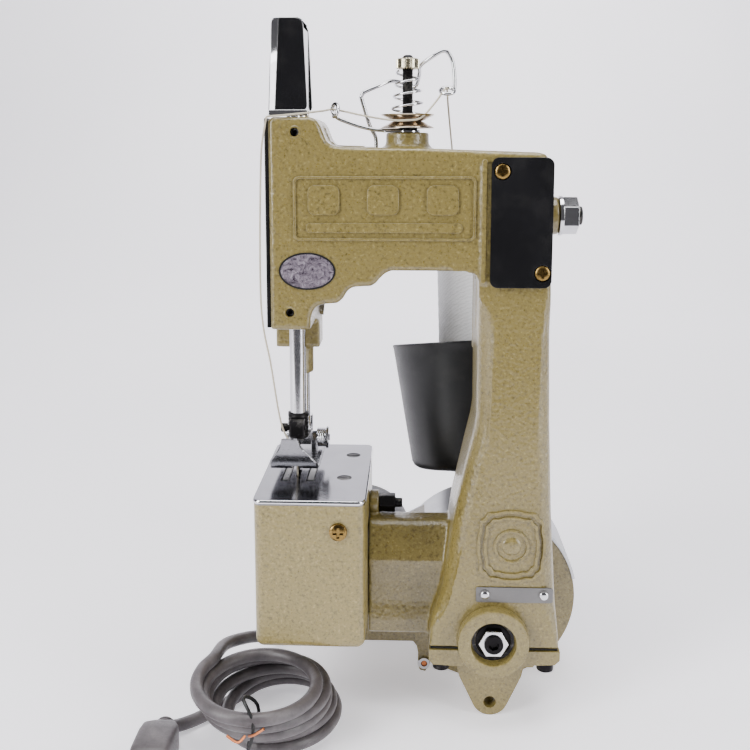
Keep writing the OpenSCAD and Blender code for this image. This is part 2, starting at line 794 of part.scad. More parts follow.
// Bent wire with an eyelet that feeds the thread to the tension discs.
module thread_guide_wire() {
    color("gainsboro") placed() tube(smooth([
        [-63.5, 23, 306], [-63.5, 23, 316], [-66.6, 22.6, 322.5], [-70.6, 21.5, 335.4],
        [-70.8, 21.2, 337.8],
        [-69, 21, 339.9], [-62, 23, 343], [-56, 27, 345.6], [-51.5, 31.6, 345.6], [-46.5, 33, 343.8],
        [-42.6, 31.6, 343.6], [-41, 30, 349.6], [-40.4, 28.4, 353.6], [-34.6, 26, 357.8], [-28.3, 26, 361],
        [-24.8, 26, 358], [-23.6, 26, 352.7], [-23.5, 26, 345.4], [-24, 27.6, 341.4], [-26.3, 28.8, 340.7],
        [-28.9, 26, 340.6], [-26.3, 23.3, 340.6], [-24.2, 24.4, 340.6]
    ], 3), 0.8, 8);
}

// Bent wire arm with a ring, beside the guard.
module pigtail_guide() {
    color("gainsboro") placed() {
        difference() {
            union() {
                cyl_z(post_x, post_y, 319.05, 320.3, 6.6);
                block([-60, 17, 319.1], [post_x, 25, 320.2]);
            }
            cyl_z(post_x, post_y, 310, 330, 2.95);
        }
        tube(smooth([
            [-52, 20, 319.95], [-59, 18, 319.95], [-65, 16.8, 320.6], [-72, 16, 322.2], [-79, 16, 324.6],
            [-83.6, 16.4, 326.8], [-86, 18.4, 330.5], [-84.6, 17.6, 333.6], [-82.8, 15, 332.6],
            [-82.6, 12.8, 330], [-83.6, 13.2, 327.6], [-85, 15, 327]
        ], 3), 0.8, 8);
    }
}

// Outline of the belt housing from the front, less an inset.
module housing_outline(d) {
    intersection() {
        union() {
            translate([0, 50]) circle(r = housing_r - d);
            translate([motor_x, motor_z]) circle(r = 22 - d);
            polygon([[motor_x, 20 + d], [-38, 20 + d], [-26 - d, 95 - d], [motor_x - 6.5 + d / 2, 63 - d]]);
        }
        translate([-200, d]) square([400, 300]);
    }
}

module belt_housing() {
    color("darkkhaki") placed() difference() {
        front_plate(52.05, 92) housing_outline(0);
        difference() {
            front_plate(56, 93) housing_outline(3);
            // Walls round the corner of the box and the lower arm.
            block([-200, 40, box_z0 - 2.4], [box_x1 + 2.4, box_y1 + 2.4, 200]);
            block([-70, 40, 42.5], [-11.5, 58.5, 120]);
        }
        block([-200, 40, box_z0 - 0.4], [box_x1 + 0.4, box_y1 + 0.4, 200]);
        block([-67.9, 40, 44.5], [-13.5, 56.5, 118]);
        cyl_y(0, shaft_z, 50, 60, 11);
    }
}

module belt_cover() {
    color("silver") placed() difference() {
        union() {
            front_plate(92.05, 96) housing_outline(1.2);
            front_plate(88, 92.05) difference() {
                housing_outline(3.3);
                housing_outline(6);
            }
            cyl_y(motor_x, motor_z, 96, 99.95, 20);
        }
        cyl_y(motor_x, motor_z, 80, 101, 9);
        // Curved vent slots.
        for (a = [20:40:160]) translate([0, 0, 50]) rotate([0, -a, 0]) block([34, 80, -4], [44, 100, 4]);
    }
}

module driven_pulley() {
    color("silver") placed() difference() {
        translate([0, belt_y, shaft_z]) rotate([-90, 0, 0]) rotate_extrude() polygon([
            [shaft_r + 0.02, -10], [13, -10], [13, -4], [pulley_r - 9, -3], [pulley_r - 6, -6],
            [pulley_r, -6],
            [pulley_r - 4.5, 0], [pulley_r, 6], [pulley_r - 6, 6], [pulley_r - 9, 3], [13, 4], [13, 10],
            [shaft_r + 0.02, 10]
        ]);
        for (a = [0:60:300]) translate([0, 0, shaft_z]) rotate([0, a, 0]) cyl_y(19, 0, 60, 100, 4.4);
    }
}

module motor_pulley() {
    color("silver") placed() {
        translate([motor_x, belt_y, motor_z]) rotate([-90, 0, 0]) rotate_extrude() polygon([
            [0, -9], [8, -9], [8, -6], [motor_pulley_r, -6], [motor_pulley_r - 4.5, 0], [motor_pulley_r, 6],
            [8, 6], [8, 10], [4, 10], [4, 33.2], [0, 33.2]
        ]);
    }
}

// Round belt between the two pulleys.
module drive_belt() {
    a = pulley_r - 1.2;
    b = motor_pulley_r - 1.2;
    dx = motor_x;
    dz = motor_z - shaft_z;
    l = norm([dx, dz]);
    u = [dx / l, dz / l];
    f = acos((a - b) / l);
    base = atan2(u[1], u[0]);
    big = [for (k = [0:22]) let (t = base + f + (360 - 2 * f) * k / 22)
        [a * cos(t), belt_y, shaft_z + a * sin(t)]];
    small = [for (k = [0:10]) let (t = base - f + 2 * f * k / 10)
        [motor_x + b * cos(t), belt_y, motor_z + b * sin(t)]];
    color("#1b1b1b") placed() tube(concat(big, small, [big[0]]), 2.2, 8);
}

module motor_housing() {
    color("#2c2e31") placed() difference() {
        union() {
            cyl_y(motor_x, motor_z, motor_y, motor_y + motor_l, motor_r);
            block([motor_x - 22, motor_y + 4, 0], [motor_x + 22, motor_y + motor_l - 4, 16]);
        }
        cyl_y(motor_x, motor_z, motor_y + 3, motor_y + motor_l + 1, motor_r - 3);
        cyl_y(motor_x, motor_z, motor_y - 1, motor_y + 10, 9);
        for (a = [20:20:160]) translate([motor_x, 0, motor_z]) rotate([0, -a, 0])
            block([motor_r - 5, motor_y + 12, -1.5], [motor_r + 5, motor_y + 30, 1.5]);
    }
}

module motor_end_bell() {
    color("#202123") placed() difference() {
        translate([motor_x, motor_y + motor_l + 0.05, motor_z]) rotate([-90, 0, 0]) rotate_extrude()
            polygon([
            [0, 0], [motor_r, 0], [motor_r, 5], [motor_r - 3, 9], [motor_r - 12, 12], [0, 13]
        ]);
        for (a = [0:45:315]) translate([motor_x, 0, motor_z]) rotate([0, a, 0])
            block([12, motor_y + motor_l + 6, -1.4], [26, motor_y + motor_l + 20, 1.4]);
    }
}

module motor_rotor() {
    color("peru") placed() difference() {
        cyl_y(motor_x, motor_z, motor_y + 14.3, motor_y + 50, 19);
        for (a = [0:30:330]) translate([motor_x, 0, motor_z]) rotate([0, a, 0])
            block([15, motor_y + 10, -1.2], [22, motor_y + 54, 1.2]);
    }
}

// Leaning cup that holds the thread cone.
module thread_cup() {
    color("#141416") placed() translate(cup_base) rotate([-cup_back, -cup_lean, 0])
        rotate_extrude($fn = 96) polygon([
        [5.1, 0], [cup_floor_r - 5, 0], [cup_floor_r - 1.5, 1.2], [cup_floor_r, 4.5],
        [cup_rim_r, cup_h - 1],
        [cup_rim_r - 0.8, cup_h], [cup_rim_r - 2.2, cup_h - 0.4], [cup_floor_r - 2.4, 5.4],
        [cup_floor_r - 5, 2.8], [5.1, 2.8]
    ]);
}

module cup_bracket() {
    color("silver") placed() {
        translate(cup_base) rotate([-cup_back, -cup_lean, 0]) {
            cyl_z(0, 0, -3.2, -0.05, 16);
            cyl_z(0, 0, -0.05, 140, 5);
        }
        block([-14, column_d + 0.05, 103], [8, 105, 106.5]);
        block([-14, column_d + 0.05, 103], [8, column_d + 3, 125]);
        cyl_z(-3.4, 105, 103, 109.5, 8);
    }
}

module thread_cone() {
    color("white") placed() translate(cup_base) rotate([-cup_back, -cup_lean, 0])
        rotate_extrude($fn = 96) polygon([
        [5.6, 3.2], [17, 3.2], [20.5, 8], [20.7, 14], [15.2, cone_h - 5], [14, cone_h - 1],
        [11, cone_h], [5.6, cone_h]
    ]);
}

// Rear grip on two posts, with a trigger.
module handle() {
    color("#18181a") placed() difference() {
        union() {
            cyl_x(77, 277, -96, -32, 12);
            translate([-96, 77, 277]) sphere(r = 12);
            translate([-32, 77, 277]) sphere(r = 12);
            for (x = [-90, -38]) {
                cyl_y(x, 280, 46.5, 70, 2.95);
                cyl_y(x, 280, arm_d + 0.05, 72, 7);
            }
        }
        block([-84, 60, 276], [-60, 76.5, 290]);
    }
}

module trigger() {
    color("#262629") placed() {
        front_plate(61, 71.5) polygon([
            [-83.4, 277], [-60.6, 277], [-60.6, 284], [-64, 288], [-80, 288], [-83.4, 284]
        ]);
    }
}

// Route of the mains lead from the motor to the hank.
cord_r = 3.4;
cord_route = [
    [-78, 175.5, 22], [-78, 184, 21], [-82, 193, 14], [-92, 198, 6], [-106, 194, 3.6], [-119, 178, 3.6],
    [-126, 155, 3.6], [-128, 130, 3.6], [-128, 106, 3.6], [-127, 84, 7], [-128, 64, 15], [-131, 47, 24]
];

module power_cord() {
    color("dimgray") placed() tube(smooth(cord_route, 4), cord_r, 10);
}

// Outline of the hank: two rounds and the straight sides between them.
module hank_outline(r) {
    translate([-113, 4]) rotate(68) {
        circle(r = r);
        translate([-32, 0]) circle(r = r);
        translate([-32, -r]) square([32, 2 * r]);
    }
}

// Solid shape of the tied hank of lead.
module cord_hank() {
    color("dimgray") placed() translate([0, 0, 0.1]) linear_extrude(height = 45) difference() {
        hank_outline(37);
        hank_outline(16);
    }
}

module plug() {
    color("dimgray") placed() {
        block([-183, -54, 0.1], [-162.5, -24, 19]);
        cyl_y(-172.5, 9.6, -24.1, -14, 4.4);
        for (x = [-179.5, -169.5]) block([x, -70, 8], [x + 4, -53.9, 11]);
    }
}

main_frame();
rating_plate();
box_cover();
looper_bracket();
throat_plate();
throat_plate_screws();
feed_dog();
feed_bar();
looper();
looper_shaft();
beam_bolt();
bottom_cap();
cap_screws();
front_bearing();
rear_bushing();
main_shaft();
shaft_nut();
shaft_set_screw();
drive_eccentric();
connecting_rod();
rocker_lever();
rocker_pivot();
side_cover();
cover_screws();
hanging_stud();
hanging_nut();
face_plate();
needle_bar_bushings();
needle_bar();
needle_clamp();
needle();
presser_bar();
presser_spring();
presser_adjuster();
presser_foot();
presser_lever();
top_guard();
guard_panels();
tension_post();
tension_discs();
tension_spring();
tension_nut();
thread_guide_wire();
pigtail_guide();
belt_housing();
belt_cover();
driven_pulley();
motor_pulley();
drive_belt();
motor_housing();
motor_end_bell();
motor_rotor();
thread_cup();
cup_bracket();
thread_cone();
handle();
trigger();
power_cord();
cord_hank();
plug();
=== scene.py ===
import json
import math
import random

import bmesh
import bpy
from mathutils import Matrix, Vector


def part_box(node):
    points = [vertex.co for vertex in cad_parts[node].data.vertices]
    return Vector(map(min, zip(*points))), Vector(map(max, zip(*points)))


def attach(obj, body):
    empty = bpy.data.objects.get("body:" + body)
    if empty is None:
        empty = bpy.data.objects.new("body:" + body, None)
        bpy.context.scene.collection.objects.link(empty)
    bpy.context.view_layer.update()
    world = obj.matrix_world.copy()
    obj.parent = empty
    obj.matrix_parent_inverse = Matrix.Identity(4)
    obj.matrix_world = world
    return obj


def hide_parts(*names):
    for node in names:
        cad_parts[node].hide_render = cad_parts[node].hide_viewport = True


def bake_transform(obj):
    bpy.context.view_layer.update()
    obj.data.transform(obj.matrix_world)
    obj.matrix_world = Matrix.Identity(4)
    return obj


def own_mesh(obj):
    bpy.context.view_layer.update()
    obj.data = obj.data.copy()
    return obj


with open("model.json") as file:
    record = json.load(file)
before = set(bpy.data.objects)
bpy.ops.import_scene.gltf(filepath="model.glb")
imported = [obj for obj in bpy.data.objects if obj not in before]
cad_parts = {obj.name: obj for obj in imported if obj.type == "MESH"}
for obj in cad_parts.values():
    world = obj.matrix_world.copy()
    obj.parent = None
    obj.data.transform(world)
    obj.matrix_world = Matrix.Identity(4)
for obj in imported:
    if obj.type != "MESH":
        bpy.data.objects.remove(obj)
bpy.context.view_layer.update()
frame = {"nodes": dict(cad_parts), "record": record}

random.seed(7)
NODES = frame["nodes"]
BODY_OF = {n: b for b, ns in frame["record"]["behaviour"]["bodies"].items() for n in ns}

# ---------------------------------------------------------------- places
# Design millimetres: x from the main shaft axis, y from the front face, z from the feet.
SHAFT_LO, SHAFT_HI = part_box("main_shaft")
OX = (SHAFT_LO.x + SHAFT_HI.x) / 2
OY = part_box("side_cover")[1].y


def P(x, y, z):
    return Vector((OX + x / 1000, OY + y / 1000, z / 1000))


def mm(node):
    """A CAD node's box in design millimetres."""
    lo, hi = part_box(node)
    return [[(v.x - OX) * 1000, (v.y - OY) * 1000, v.z * 1000] for v in (lo, hi)]


# ---------------------------------------------------------------- camera
def make_camera():
    data = bpy.data.cameras.new("camera")
    cam = bpy.data.objects.new("camera", data)
    bpy.context.scene.collection.objects.link(cam)
    bpy.context.scene.camera = cam
    data.sensor_width = 36
    data.lens = 45.1
    data.shift_y = -0.124
    data.clip_start = 0.01
    yaw, pitch = math.radians(-2.29), math.radians(8.0)
    look = Vector((math.sin(yaw) * math.cos(pitch), math.cos(yaw) * math.cos(pitch), -math.sin(pitch)))
    cam.location = P(-44.1, -473.7, 310.1)
    cam.rotation_euler = look.to_track_quat("-Z", "Y").to_euler()
    return cam


make_camera()


# ---------------------------------------------------------------- materials
def srgb(r, g, b):
    def one(c):
        c /= 255
        return c / 12.92 if c <= 0.04045 else ((c + 0.055) / 1.055) ** 2.4
    return (one(r), one(g), one(b), 1.0)


class Graph:
    """A short way to write a node material."""

    def __init__(self, name):
        self.mat = bpy.data.materials.new(name)
        self.mat.use_nodes = True
        self.t = self.mat.node_tree
        self.bsdf = self.t.nodes["Principled BSDF"]
        coord = self.t.nodes.new("ShaderNodeTexCoord")
        self.co = coord.outputs["Object"]

    def node(self, kind, ins=None, **props):
        n = self.t.nodes.new("ShaderNode" + kind)
        for k, v in props.items():
            setattr(n, k, v)
        for k, v in (ins or {}).items():
            if hasattr(v, "is_linked") or isinstance(v, bpy.types.NodeSocket):
                self.t.links.new(v, n.inputs[k])
            else:
                n.inputs[k].default_value = v
        return n

    def noise(self, scale, detail=3.0, rough=0.55, distort=0.0, vec=None):
        return self.node("TexNoise", {"Vector": vec or self.co, "Scale": scale, "Detail": detail,
                                      "Roughness": rough, "Distortion": distort}).outputs["Fac"]

    def voronoi(self, scale, smooth=0.6, vec=None, feature="SMOOTH_F1"):
        n = self.node("TexVoronoi", {"Vector": vec or self.co, "Scale": scale}, feature=feature)
        if feature == "SMOOTH_F1":
            n.inputs["Smoothness"].default_value = smooth
        return n.outputs["Distance"]

    def stretch(self, x, y, z):
        return self.node("Mapping", {"Vector": self.co, "Scale": (x, y, z)}).outputs["Vector"]

    def ramp(self, fac, stops, interpolation="LINEAR"):
        n = self.node("ValToRGB", {"Fac": fac})
        n.color_ramp.interpolation = interpolation
        e = n.color_ramp.elements
        while len(e) < len(stops):
            e.new(0.5)
        for el, (at, col) in zip(e, stops):
            el.position = at
            el.color = col if len(col) == 4 else (*col, 1)
        return n.outputs["Color"]

    def grey(self, fac, lo, hi, at0=0.35, at1=0.65):
        return self.node("MapRange", {"Value": fac, "From Min": at0, "From Max": at1,
                                      "To Min": lo, "To Max": hi}).outputs["Result"]

    def math(self, op, a, b):
        return self.node("Math", {0: a, 1: b}, operation=op).outputs["Value"]

    def mix(self, fac, a, b, mode="MIX"):
        n = self.node("Mix", {}, data_type="RGBA", blend_type=mode)
        for sock, v in (("Factor", fac), ("A", a), ("B", b)):
            s = [i for i in n.inputs if i.name == sock and i.type == ("VALUE" if sock == "Factor" else "RGBA")][0]
            if isinstance(v, bpy.types.NodeSocket):
                self.t.links.new(v, s)
            else:
                s.default_value = v
        return [o for o in n.outputs if o.type == "RGBA"][0]

    def bump(self, height, strength, distance, normal=None):
        ins = {"Height": height, "Strength": strength, "Distance": distance}
        if normal is not None:
            ins["Normal"] = normal
        return self.node("Bump", ins).outputs["Normal"]

    def done(self, color=None, rough=None, normal=None, metal=0.0, spec=None, coat=None, coat_rough=None,
             sheen=None):
        def put(name, v):
            if v is None:
                return
            s = self.bsdf.inputs[name]
            if isinstance(v, bpy.types.NodeSocket):
                self.t.links.new(v, s)
            else:
                s.default_value = v
        put("Base Color", color)
        put("Roughness", rough)
        put("Normal", normal)
        put("Metallic", metal)
        put("Specular IOR Level", spec)
        put("Coat Weight", coat)
        put("Coat Roughness", coat_rough)
        put("Sheen Weight", sheen)
        return self.mat


def hammertone(name, dark, mid, light, cell=520.0, depth=0.00042):
    g = Graph(name)
    wob = g.noise(260, 2, 0.5, 0.6)
    cells = g.voronoi(cell, 0.8)
    fine = g.noise(cell * 1.9, 3, 0.6)
    pits = g.math("ADD", g.math("MULTIPLY", cells, 0.8), g.math("MULTIPLY", wob, 0.5))
    speck = g.ramp(g.noise(640, 2, 0.6, 0.4), [(0.30, dark), (0.46, mid), (0.58, mid), (0.74, light)])
    broad = g.noise(14, 2, 0.5)
    col = g.mix(g.grey(broad, 0.0, 0.12), speck, light)
    n = g.bump(pits, 0.85, depth)
    n = g.bump(fine, 0.25, depth * 0.3, n)
    return g.done(col, g.grey(fine, 0.27, 0.40), n, spec=0.6, coat=0.35, coat_rough=0.18)


def metal(name, base, rough=0.16, spread=0.08, grain=(1, 1, 1), grain_scale=900.0, depth=0.00002, worn=None):
    g = Graph(name)
    v = g.stretch(*grain)
    scratch = g.noise(grain_scale, 4, 0.7, 0.0, v)
    cloud = g.noise(45, 3, 0.6)
    tint = tuple(c * 0.78 for c in base[:3]) + (1,)
    col = g.mix(g.grey(cloud, 0.0, 0.5), base, tint)
    if worn:
        col = g.mix(g.grey(g.noise(130, 4, 0.7, 0.5), 0.0, 0.8, 0.56, 0.70), col, worn)
    r = g.math("ADD", g.grey(scratch, rough, rough + spread), g.grey(cloud, 0.0, spread * 0.5))
    return g.done(col, r, g.bump(scratch, 0.3, depth), metal=1.0)


def plastic(name, base, rough=0.4, spread=0.1, scale=1400.0, depth=0.00003, coat=None, spec=0.5):
    g = Graph(name)
    grain = g.noise(scale, 3, 0.6)
    cloud = g.noise(30, 4, 0.6)
    lift = tuple(min(1, c * 1.9 + 0.004) for c in base[:3]) + (1,)
    col = g.mix(g.grey(cloud, 0.0, 0.35), base, lift)
    haze = g.noise(90, 3, 0.6)
    col = g.mix(g.grey(haze, 0.0, 0.018, 0.50, 0.80), col, (0.45, 0.43, 0.40, 1))
    r = g.math("ADD", g.grey(grain, rough, rough + spread), g.grey(cloud, 0.0, spread))
    return g.done(col, r, g.bump(grain, 0.35, depth), spec=spec, coat=coat, coat_rough=0.08 if coat else None)


OLIVE = hammertone("olive_hammertone", srgb(76, 66, 30), srgb(112, 99, 52), srgb(140, 127, 78))
OLIVE_BOX = hammertone("olive_hammertone_cover", srgb(86, 76, 36), srgb(126, 112, 62), srgb(154, 140, 90), 560)
CHROME = metal("polished_chrome", srgb(214, 214, 217), 0.09, 0.07)
PLATE = metal("ground_plate", srgb(128, 128, 133), 0.10, 0.08, (1, 6, 1), 500)
FOOT = metal("forged_foot", srgb(138, 138, 142), 0.18, 0.10, (1, 1, 3), 500)
RATING = metal("rating_metal", srgb(118, 117, 116), 0.34, 0.14, (1, 1, 5), 500)
STEEL = metal("turned_steel", srgb(176, 175, 172), 0.24, 0.14, (1, 1, 6), 700)
DARK = metal("oiled_black_steel", srgb(46, 45, 46), 0.30, 0.16, worn=srgb(120, 118, 114))
BLACK_SCREW = metal("blacked_screw", srgb(30, 29, 30), 0.26, 0.12, worn=srgb(70, 68, 66))
GILT = metal("gilt_screw", srgb(132, 108, 62), 0.18, 0.12, worn=srgb(84, 66, 34))
BRONZE = metal("dished_disc", srgb(190, 178, 162), 0.10, 0.08, (1, 1, 8), 500, worn=srgb(140, 112, 78))
BUSH = metal("bearing_bronze", srgb(168, 122, 70), 0.28, 0.12)
ALU = metal("brushed_aluminium", srgb(196, 197, 200), 0.28, 0.12, (0.4, 8, 8), 600)
IVORY = metal("nickel_knob", srgb(222, 214, 188), 0.16, 0.10)
IRON = metal("machined_iron", srgb(92, 90, 88), 0.42, 0.15, worn=srgb(60, 56, 52))
GLOSS_BLACK = plastic("gloss_black_panel", srgb(12, 12, 14), 0.08, 0.05, 900, 0.00001, coat=0.6)
BLACK = plastic("moulded_black", srgb(11, 11, 12), 0.30, 0.10, spec=0.4)
MOTOR_BLACK = plastic("motor_enamel", srgb(34, 35, 38), 0.32, 0.14, 700, 0.00006)
RUBBER = plastic("belt_rubber", srgb(26, 26, 26), 0.62, 0.12, 1500, 0.00008, spec=0.35)


def cord_material():
    g = Graph("cord_sheath")
    fine = g.noise(900, 3, 0.6)
    scuff = g.noise(70, 5, 0.7)
    col = g.ramp(scuff, [(0.30, srgb(62, 58, 60)), (0.52, srgb(80, 75, 77)), (0.74, srgb(100, 95, 96))])
    return g.done(col, g.grey(fine, 0.36, 0.52), g.bump(fine, 0.4, 0.00006), spec=0.5)


CORD = cord_material()


def thread_material(name, tint, winds):
    """Wound thread: fine crossing strands in low relief."""
    g = Graph(name)
    a = g.node("TexWave", {"Vector": g.stretch(1, 1, 1), "Scale": winds, "Distortion": 2.2, "Detail": 2.0,
                           "Detail Scale": 1.4}, bands_direction="Z").outputs["Fac"]
    b = g.node("TexWave", {"Vector": g.node("Mapping", {"Vector": g.co, "Rotation": (0.22, 0.1, 0)}).outputs[0],
                           "Scale": winds * 1.3, "Distortion": 3.0, "Detail": 2.0},
               bands_direction="Z").outputs["Fac"]
    h = g.math("MULTIPLY", a, b)
    # Painted shade: the thread is darkened to 62% of its colour in the low grooves between strands.
    low = tuple(c * 0.62 for c in tint[:3]) + (1,)
    col = g.mix(g.grey(h, 0.0, 1.0, 0.0, 0.5), low, tint)
    col = g.mix(g.grey(g.noise(40, 3, 0.6), 0.0, 0.12), col, srgb(190, 190, 196))
    return g.done(col, 0.8, g.bump(h, 0.6, 0.00025), spec=0.3, sheen=0.3)


THREAD = thread_material("white_wound_thread", srgb(238, 238, 240), 420)
STRAND = thread_material("sewing_strand", srgb(224, 212, 186), 1600)


def sticker_material():
    g = Graph("mottled_foil")
    v = g.noise(260, 5, 0.75, 1.4)
    col = g.ramp(v, [(0.30, srgb(48, 42, 50)), (0.46, srgb(96, 87, 98)), (0.58, srgb(138, 128, 140)),
                     (0.74, srgb(176, 170, 178))])
    return g.done(col, g.grey(v, 0.22, 0.5), g.bump(v, 0.3, 0.00005), metal=0.35, coat=0.3, coat_rough=0.12)


FOIL = sticker_material()


def copper_material():
    return metal("copper_core", srgb(196, 120, 78), 0.25, 0.12)


COPPER = copper_material()


# ---------------------------------------------------------------- mesh tools
def new_object(name, mesh):
    o = bpy.data.objects.new(name, mesh)
    bpy.context.scene.collection.objects.link(o)
    return o


def from_bm(name, bm, smooth=35):
    bmesh.ops.recalc_face_normals(bm, faces=bm.faces)
    me = bpy.data.meshes.new(name)
    bm.to_mesh(me)
    bm.free()
    o = new_object(name, me)
    soft(o, smooth)
    return o


def soft(o, angle=35):
    o.data.polygons.foreach_set("use_smooth", [True] * len(o.data.polygons))
    if angle:
        o.data.set_sharp_from_angle(angle=math.radians(angle))
    o.data.update()
    return o


def apply_all(o):
    dg = bpy.context.evaluated_depsgraph_get()
    me = bpy.data.meshes.new_from_object(o.evaluated_get(dg))
    old = o.data
    o.modifiers.clear()
    o.data = me
    bpy.data.meshes.remove(old)
    return o


def bevel(o, width, segments=3, angle=35, clamp=True):
    m = o.modifiers.new("bevel", "BEVEL")
    m.width = width / 1000
    m.segments = segments
    m.limit_method = "ANGLE"
    m.angle_limit = math.radians(angle)
    m.use_clamp_overlap = clamp
    w = o.modifiers.new("normals", "WEIGHTED_NORMAL")
    w.keep_sharp = False
    return o


def flat_faces(o):
    """Keeps broad flat faces flat in the shading, beside their rounded edges."""
    w = o.modifiers.new("normals", "WEIGHTED_NORMAL")
    w.keep_sharp = True
    return o


def paint(o, material):
    o.data.materials.clear()
    o.data.materials.append(material)
    return o


def piece(o, body, material, stands_for=()):
    paint(o, material)
    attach(o, body)
    if stands_for:
        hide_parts(*stands_for)
    return o


def clone(node, material, width=0.5, segments=2, name=None, angle=35):
    """A copy of a CAD node's shape with broken edges, standing for the node."""
    src = NODES[node]
    bm = bmesh.new()
    bm.from_mesh(src.data)
    bmesh.ops.remove_doubles(bm, verts=bm.verts, dist=1e-6)
    bmesh.ops.dissolve_limit(bm, angle_limit=math.radians(0.6), verts=bm.verts, edges=bm.edges)
    me = bpy.data.meshes.new(node + "_shape")
    bm.to_mesh(me)
    bm.free()
    o = new_object(name or node + "_piece", me)
    soft(o, 0)
    if width:
        bevel(o, width, segments, angle)
        apply_all(o)
        soft(o, 40)
    return piece(o, BODY_OF[node], material, (node,))


def extrude(name, pts, y0, y1, plane="XZ"):
    """A closed outline (design mm) drawn in X and Z, or in Y and Z, pushed from y0 to y1."""
    bm = bmesh.new()
    rings = []
    for d in (y0, y1):
        rings.append([bm.verts.new(P(a, d, b) if plane == "XZ" else P(d, a, b) if plane == "YZ" else P(a, b, d))
                      for a, b in pts])
    n = len(pts)
    bm.faces.new(rings[0])
    bm.faces.new(rings[1][::-1])
    for i in range(n):
        bm.faces.new((rings[0][i], rings[1][i], rings[1][(i + 1) % n], rings[0][(i + 1) % n]))
    return from_bm(name, bm)


def ellipse(x, z, rx, rz, n, turn=0.0):
    """An ellipse of n points about (x, z)."""
    return [(x + rx * math.cos(a), z + rz * math.sin(a)) for a in (turn + 2 * math.pi * k / n for k in range(n))]


def bridge(bm, rings, closed=False):
    """Joins each ring of points to the next with quads."""
    n = len(rings[0])
    for a, b in zip(rings, rings[1:] + (rings[:1] if closed else [])):
        for k in range(n):
            bm.faces.new((a[k], a[(k + 1) % n], b[(k + 1) % n], b[k]))


def rounded(x0, z0, x1, z1, r, n=8):
    pts = []
    for cx, cz, a0 in ((x1 - r, z1 - r, 0), (x0 + r, z1 - r, 90), (x0 + r, z0 + r, 180), (x1 - r, z0 + r, 270)):
        for k in range(n + 1):
            a = math.radians(a0 + 90 * k / n)
            pts.append((cx + r * math.cos(a), cz + r * math.sin(a)))
    return pts


def lathe(name, profile, at, axis="Z", n=64, tilt=0.0, close=True, lean=0.0):
    """Turns (radius, height) pairs about an axis through the design point."""
    bm = bmesh.new()
    rings = []
    for r, h in profile:
        if r < 1e-6:
            rings.append([bm.verts.new((0, 0, h))])
        else:
            rings.append([bm.verts.new((r * math.cos(2 * math.pi * k / n), r * math.sin(2 * math.pi * k / n), h))
                          for k in range(n)])
    pairs = list(zip(rings, rings[1:]))
    if close and len(rings[0]) > 1 and len(rings[-1]) > 1:
        pairs.append((rings[-1], rings[0]))
    for a, b in pairs:
        for k in range(n):
            q = (k + 1) % n
            if len(a) == 1 and len(b) == 1:
                continue
            if len(a) == 1:
                bm.faces.new((a[0], b[k], b[q]))
            elif len(b) == 1:
                bm.faces.new((a[k], b[0], a[q]))
            else:
                bm.faces.new((a[k], b[k], b[q], a[q]))
    turn = {"Z": Matrix.Identity(4), "Y": Matrix.Rotation(math.radians(-90), 4, "X"),
            "X": Matrix.Rotation(math.radians(90), 4, "Y")}[axis]
    slant = Matrix.Rotation(math.radians(tilt), 4, "Y") @ Matrix.Rotation(math.radians(lean), 4, "X")
    m = Matrix.Translation(P(*at)) @ slant @ turn @ Matrix.Scale(0.001, 4)
    bmesh.ops.transform(bm, matrix=m, verts=bm.verts)
    return from_bm(name, bm)


def wire(name, pts, radius, resolution=4, cyclic=False, order=3, smooth=True):
    """A round wire along design points."""
    cu = bpy.data.curves.new(name, "CURVE")
    cu.dimensions = "3D"
    cu.bevel_depth = radius / 1000
    cu.bevel_resolution = resolution
    cu.use_fill_caps = True
    cu.resolution_u = 6
    if smooth:
        s = cu.splines.new("NURBS")
        s.points.add(len(pts) - 1)
        for p, q in zip(s.points, pts):
            p.co = (*P(*q), 1)
        s.order_u = min(order, len(pts))
        s.use_endpoint_u = not cyclic
    else:
        s = cu.splines.new("POLY")
        s.points.add(len(pts) - 1)
        for p, q in zip(s.points, pts):
            p.co = (*P(*q), 1)
    s.use_cyclic_u = cyclic
    o = new_object(name, cu)
    return o


def to_mesh(o):
    dg = bpy.context.evaluated_depsgraph_get()
    me = bpy.data.meshes.new_from_object(o.evaluated_get(dg))
    name = o.name
    bpy.data.objects.remove(o)
    n = new_object(name, me)
    soft(n, 0)
    return n


def helix(cx, cy, r0, r1, z0, z1, turns, n=18, phase=0.0):
    out = []
    for i in range(int(turns * n) + 1):
        f = i / (turns * n)
        a = 2 * math.pi * i / n + phase
        r = r0 + (r1 - r0) * f
        out.append((cx + r * math.cos(a), cy + r * math.sin(a), z0 + (z1 - z0) * f))
    return out


def catmull(pts, k=6):
    out = []
    for i in range(len(pts) - 1):
        a, b, c, d = (Vector(pts[j]) for j in (max(i - 1, 0), i, i + 1, min(i + 2, len(pts) - 1)))
        for s in range(k):
            t = s / k
            out.append(0.5 * (2 * b + (c - a) * t + (2 * a - 5 * b + 4 * c - d) * t * t
                              + (3 * b - a - 3 * c + d) * t ** 3))
    out.append(Vector(pts[-1]))
    return [tuple(v) for v in out]


def join(name, objects):
    """Several meshes as one object."""
    bm = bmesh.new()
    for o in objects:
        me = o.data
        if o.modifiers:
            apply_all(o)
            me = o.data
        part = bmesh.new()
        part.from_mesh(me)
        part.transform(o.matrix_world)
        tmp = bpy.data.meshes.new("tmp")
        part.to_mesh(tmp)
        part.free()
        bm.from_mesh(tmp)
        bpy.data.meshes.remove(tmp)
        bpy.data.objects.remove(o)
        bpy.data.meshes.remove(me)
    me = bpy.data.meshes.new(name)
    bm.to_mesh(me)
    bm.free()
    return new_object(name, me)


